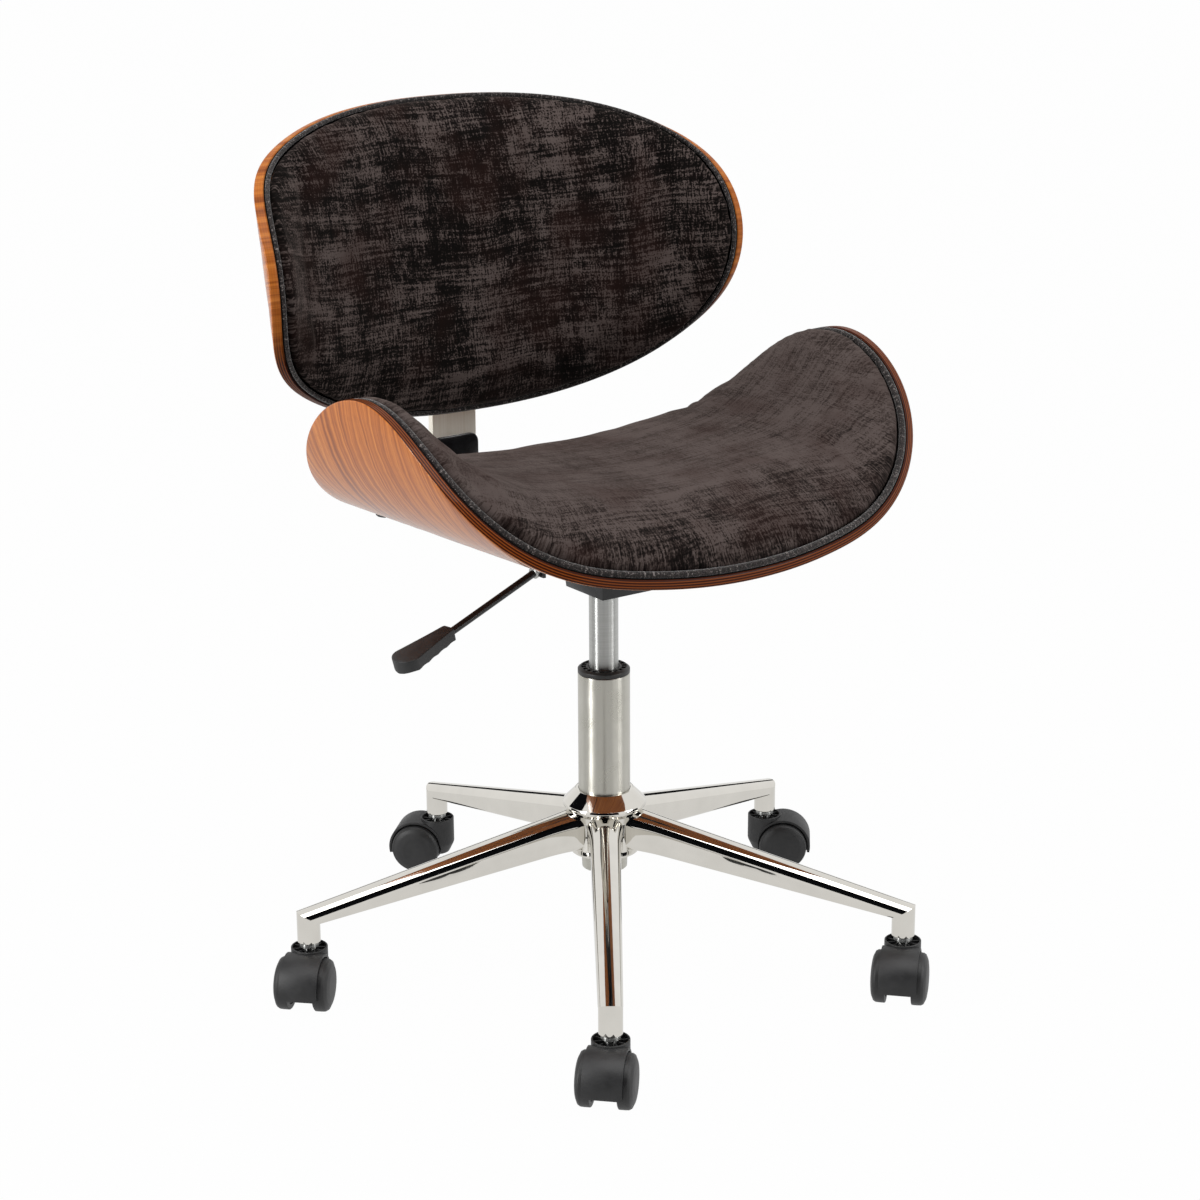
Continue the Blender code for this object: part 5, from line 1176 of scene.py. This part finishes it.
def hood_body():
    """Hood: a band over the wheels joined to a round boss, with the wheels' pockets cut out."""
    def part(bm):
        return set_out("hood_part", plain_mesh("hood_part", bm))

    outline = [(AXLE[0] + BAND_OUTER * math.cos(a), AXLE[1] + BAND_OUTER * math.sin(a))
               for a in np.radians(np.linspace(-13, 150, 34))]
    outline += [(-0.0060, 0.0300), (-0.0060, 0.0200), (-0.0035, 0.0150), (0.0140, 0.0155),
                (0.0280, 0.0165)]
    outline += [(AXLE[0] + POCKET_RADIUS * math.cos(a), AXLE[1] + POCKET_RADIUS * math.sin(a))
                for a in np.radians([-14, -13.4])]
    band = part(skin([[(x, y, z) for x, z in outline] for y in (-0.018, 0.018)]))
    boss_line = [(0, 0.0550, 0), (0.0174, 0.0550, 0.0006), (0.0175, 0.0280, 0.008),
                 (0.0120, 0.0165, 0.004), (0, 0.0140, 0)]
    boss = part(turned(eased(boss_line), 72))
    tools = [(boss, "UNION")]
    for y in (TYRE_INNER + 0.01, -TYRE_INNER - 0.01):
        pocket = turned([(0, 0.01), (POCKET_RADIUS, 0.01), (POCKET_RADIUS, -0.01), (0, -0.01)], 96)
        bmesh.ops.rotate(pocket, matrix=Matrix.Rotation(math.pi / 2, 3, "X"), verts=pocket.verts)
        bmesh.ops.translate(pocket, vec=(AXLE[0], y, AXLE[1]), verts=pocket.verts)
        tools.append((part(pocket), "DIFFERENCE"))
    cup = turned([(0, 0.06), (0.0160, 0.06), (0.0158, 0.0490), (0.0062, 0.0490), (0.0062, 0.0370),
                  (0, 0.0370)], 72)
    tools.append((part(cup), "DIFFERENCE"))
    for tool, operation in tools:
        cut = band.modifiers.new(operation, "BOOLEAN")
        cut.operation = operation
        cut.solver = "EXACT"
        cut.object = tool
    ease = band.modifiers.new("ease", "BEVEL")
    ease.width = 0.0006
    ease.segments = 2
    ease.limit_method = "ANGLE"
    ease.angle_limit = math.radians(40)
    bpy.context.view_layer.update()
    shape = band.evaluated_get(bpy.context.evaluated_depsgraph_get())
    mesh = bpy.data.meshes.new_from_object(shape)
    for item in [tool for tool, operation in tools] + [band]:
        bpy.data.objects.remove(item)
    return mesh


cup_rule = ribs_in_a_ring("cup_ribs", moulded_nylon, Ribs=RIBS,
                          Radius=(RIB_INNER + RIB_OUTER) * 0.5, Length=RIB_OUTER - RIB_INNER,
                          Width=0.0011, Height=0.0045)
# Wheel from its outer face's middle over the tyre to the recess round the axle's hole
wheel_line = [(0, 0.0270, 0), (0.0120, 0.0268, 0.02), (0.0190, 0.0258, 0.01),
              (0.0226, 0.0240, 0.001), (0.0230, 0.0236, 0.0006), (0.0234, 0.0238, 0.0004),
              (0.0248, 0.0215, 0.0020), (0.0250, 0.0180, 0.0020), (0.0250, 0.0128, 0.0008),
              (0.0242, 0.0123, 0.0004), (0.0200, 0.0123, 0), (0.0195, 0.0135, 0),
              (0.0080, 0.0135, 0), (0.0076, 0.0123, 0), (0.0036, 0.0123, 0),
              (0.0036, 0.0206, 0), (0, 0.0206, 0)]
# Stem from its tip in the leg down over its collar to its foot in the hood
stem_line = [(0, 0.0795, 0), (0.0050, 0.0795, 0.0008), (0.0055, 0.0780, 0.0004),
             (0.0055, 0.0600, 0), (0.0085, 0.0597, 0.0003), (0.0090, 0.0590, 0.0003),
             (0.0090, 0.0556, 0.0004), (0.0055, 0.0553, 0), (0.0055, 0.0372, 0), (0, 0.0372, 0)]
hood_shape = hood_body()
for index in range(5):
    number = index + 1
    stand = caster_place(index)
    hood = bmesh.new()
    hood.from_mesh(hood_shape)
    fitted(f"hood_{number}", hood, moulded_nylon, f"caster_{number}", "black_nylon",
           f"caster_{number}_hood", place=stand, sharp=40)
    follow_rule(f"hood_ribs_{number}", cup_rule, None, moulded_nylon, f"caster_{number}",
                "black_nylon", place=stand @ Matrix.Translation((0, 0, 0.0512)))
    fitted(f"stem_{number}", turned(eased(stem_line, steps=3), 48), ground_steel,
           f"caster_{number}", "dark_steel", f"caster_{number}_stem", place=stand)
    coat_node(oiled_steel, f"caster_{number}_axle")
    for side, lean in (("left", -math.pi / 2), ("right", math.pi / 2)):
        at_axle = stand @ Matrix.Translation((AXLE[0], 0, AXLE[1])) @ Matrix.Rotation(lean, 4, "X")
        fitted(f"wheel_{number}_{side}", turned(eased(wheel_line, steps=5), 96), moulded_nylon,
               f"caster_{number}_wheel_{side}", "black_nylon", f"caster_{number}_wheel_{side}",
               place=at_axle)


# Studio: a white sweep of floor, a broad lamp overhead, a strip lamp at each side and an even
# sky, seen from the photograph's angle.
FLOOR_HALF = 40
floor_mesh = bpy.data.meshes.new("floor")
floor_mesh.from_pydata([(x * FLOOR_HALF, y * FLOOR_HALF, 0)
                        for x, y in ((-1, -1), (1, -1), (1, 1), (-1, 1))], [], [(0, 1, 2, 3)])
floor = set_out("floor", floor_mesh)
paper, tree, shader = new_finish("white_paper", Roughness=0.9)
shader.inputs["Base Color"].default_value = shade("#a3a3a2")
path = add_node(tree, "ShaderNodeLightPath")
through = add_node(tree, "ShaderNodeMath", {0: path.outputs["Is Camera Ray"],
                                            1: path.outputs["Is Transmission Ray"]},
                   operation="MAXIMUM")
white = add_node(tree, "ShaderNodeMath", {0: through.outputs[0], 1: 0.985}, operation="MULTIPLY")
mirrored = add_node(tree, "ShaderNodeMath", {0: path.outputs["Is Glossy Ray"], 1: 0.82},
                    operation="MULTIPLY")
part_white = add_node(tree, "ShaderNodeMath", {0: white.outputs[0], 1: mirrored.outputs[0]},
                      operation="MAXIMUM")
glow = add_node(tree, "ShaderNodeEmission", {"Strength": 1.0})
blend = add_node(tree, "ShaderNodeMixShader", {0: part_white.outputs[0], 1: shader.outputs[0],
                                               2: glow.outputs[0]})
tree.links.new(blend.outputs[0], tree.nodes["Material Output"].inputs["Surface"])
floor_mesh.materials.append(paper)

world = bpy.data.worlds.new("studio")
bpy.context.scene.world = world
world.use_nodes = True
tree = world.node_tree
path = add_node(tree, "ShaderNodeLightPath")
direct = add_node(tree, "ShaderNodeMath", {0: path.outputs["Is Camera Ray"],
                                           1: path.outputs["Is Glossy Ray"]},
                  operation="MAXIMUM")
seen = add_node(tree, "ShaderNodeMath", {0: direct.outputs[0],
                                         1: path.outputs["Is Transmission Ray"]},
                operation="MAXIMUM")
backdrop = add_node(tree, "ShaderNodeMix", {0: seen.outputs[0], 6: (0.5, 0.5, 0.5, 1),
                                            7: (1, 1, 1, 1)}, data_type="RGBA")
tree.links.new(backdrop.outputs[2], tree.nodes["Background"].inputs["Color"])

# Flags: boards of black felt at the sides, behind the chair and behind the camera, which make
# the dark lines that chrome shows in a studio; the front one keeps fill off the chair too
flag_felt, tree, shader = new_finish("flag_felt", Roughness=1.0, Specular_IOR_Level=0.0)
shader.inputs["Base Color"].default_value = shade("#141518")
# Each row: direction and distance from the chair, half width, lower and upper edge
for name, bearing, far, half, low, high in (("flag_left", 131.6, 2.6, 0.9, 1.5, 4.2),
                                            ("flag_front", -125.4, 3.2, 2.6, 0.25, 4.6),
                                            ("flag_behind", 54.6, 2.6, 1.1, 0.45, 0.95),
                                            ("flag_low_left", 156.0, 2.6, 1.0, 0.06, 0.62),
                                            ("flag_low_right", -47.0, 2.6, 1.0, 0.06, 0.62)):
    mesh = bpy.data.meshes.new(name)
    mesh.from_pydata([(far, -half, low), (far, half, low), (far, half, high), (far, -half, high)],
                     [], [(0, 1, 2, 3)])
    mesh.transform(Matrix.Rotation(math.radians(bearing), 4, "Z"))
    mesh.materials.append(flag_felt)
    flag = set_out(name, mesh)
    flag.visible_camera = False
    flag.visible_diffuse = name == "flag_front"
    flag.visible_shadow = False

# Each row: a lamp's place, what it aims at, its width and height, and its power
for name, place, aim, width, height, power in (
        ("key_lamp", (-0.5, -0.9, 3.3), (0, 0, 0.45), 2.2, 2.2, 50.0),
        ("left_strip", (-2.5, 0.2, 1.1), (0, 0, 0.35), 0.7, 1.8, 42.0),
        ("right_strip", (1.65, -2.15, 1.3), (0, 0, 0.45), 0.9, 2.0, 30.0)):
    lamp = bpy.data.lights.new(name, "AREA")
    lamp.shape = "RECTANGLE"
    lamp.size = width
    lamp.size_y = height
    lamp.energy = power
    item = set_out(name, lamp)
    item.location = place
    item.rotation_euler = (Vector(aim) - Vector(place)).to_track_quat("-Z", "Y").to_euler()

view = bpy.data.cameras.new("photo_view")
view.sensor_width = 36.0
view.lens = 82.599
camera = set_out("photo_view", view)
camera.location = (-1.44241, -2.05642, 1.12643)
camera.rotation_euler = [math.radians(turn) for turn in (73.02984, 0.25729, -35.39114)]
bpy.context.scene.camera = camera
bpy.context.scene.view_settings.view_transform = "Standard"
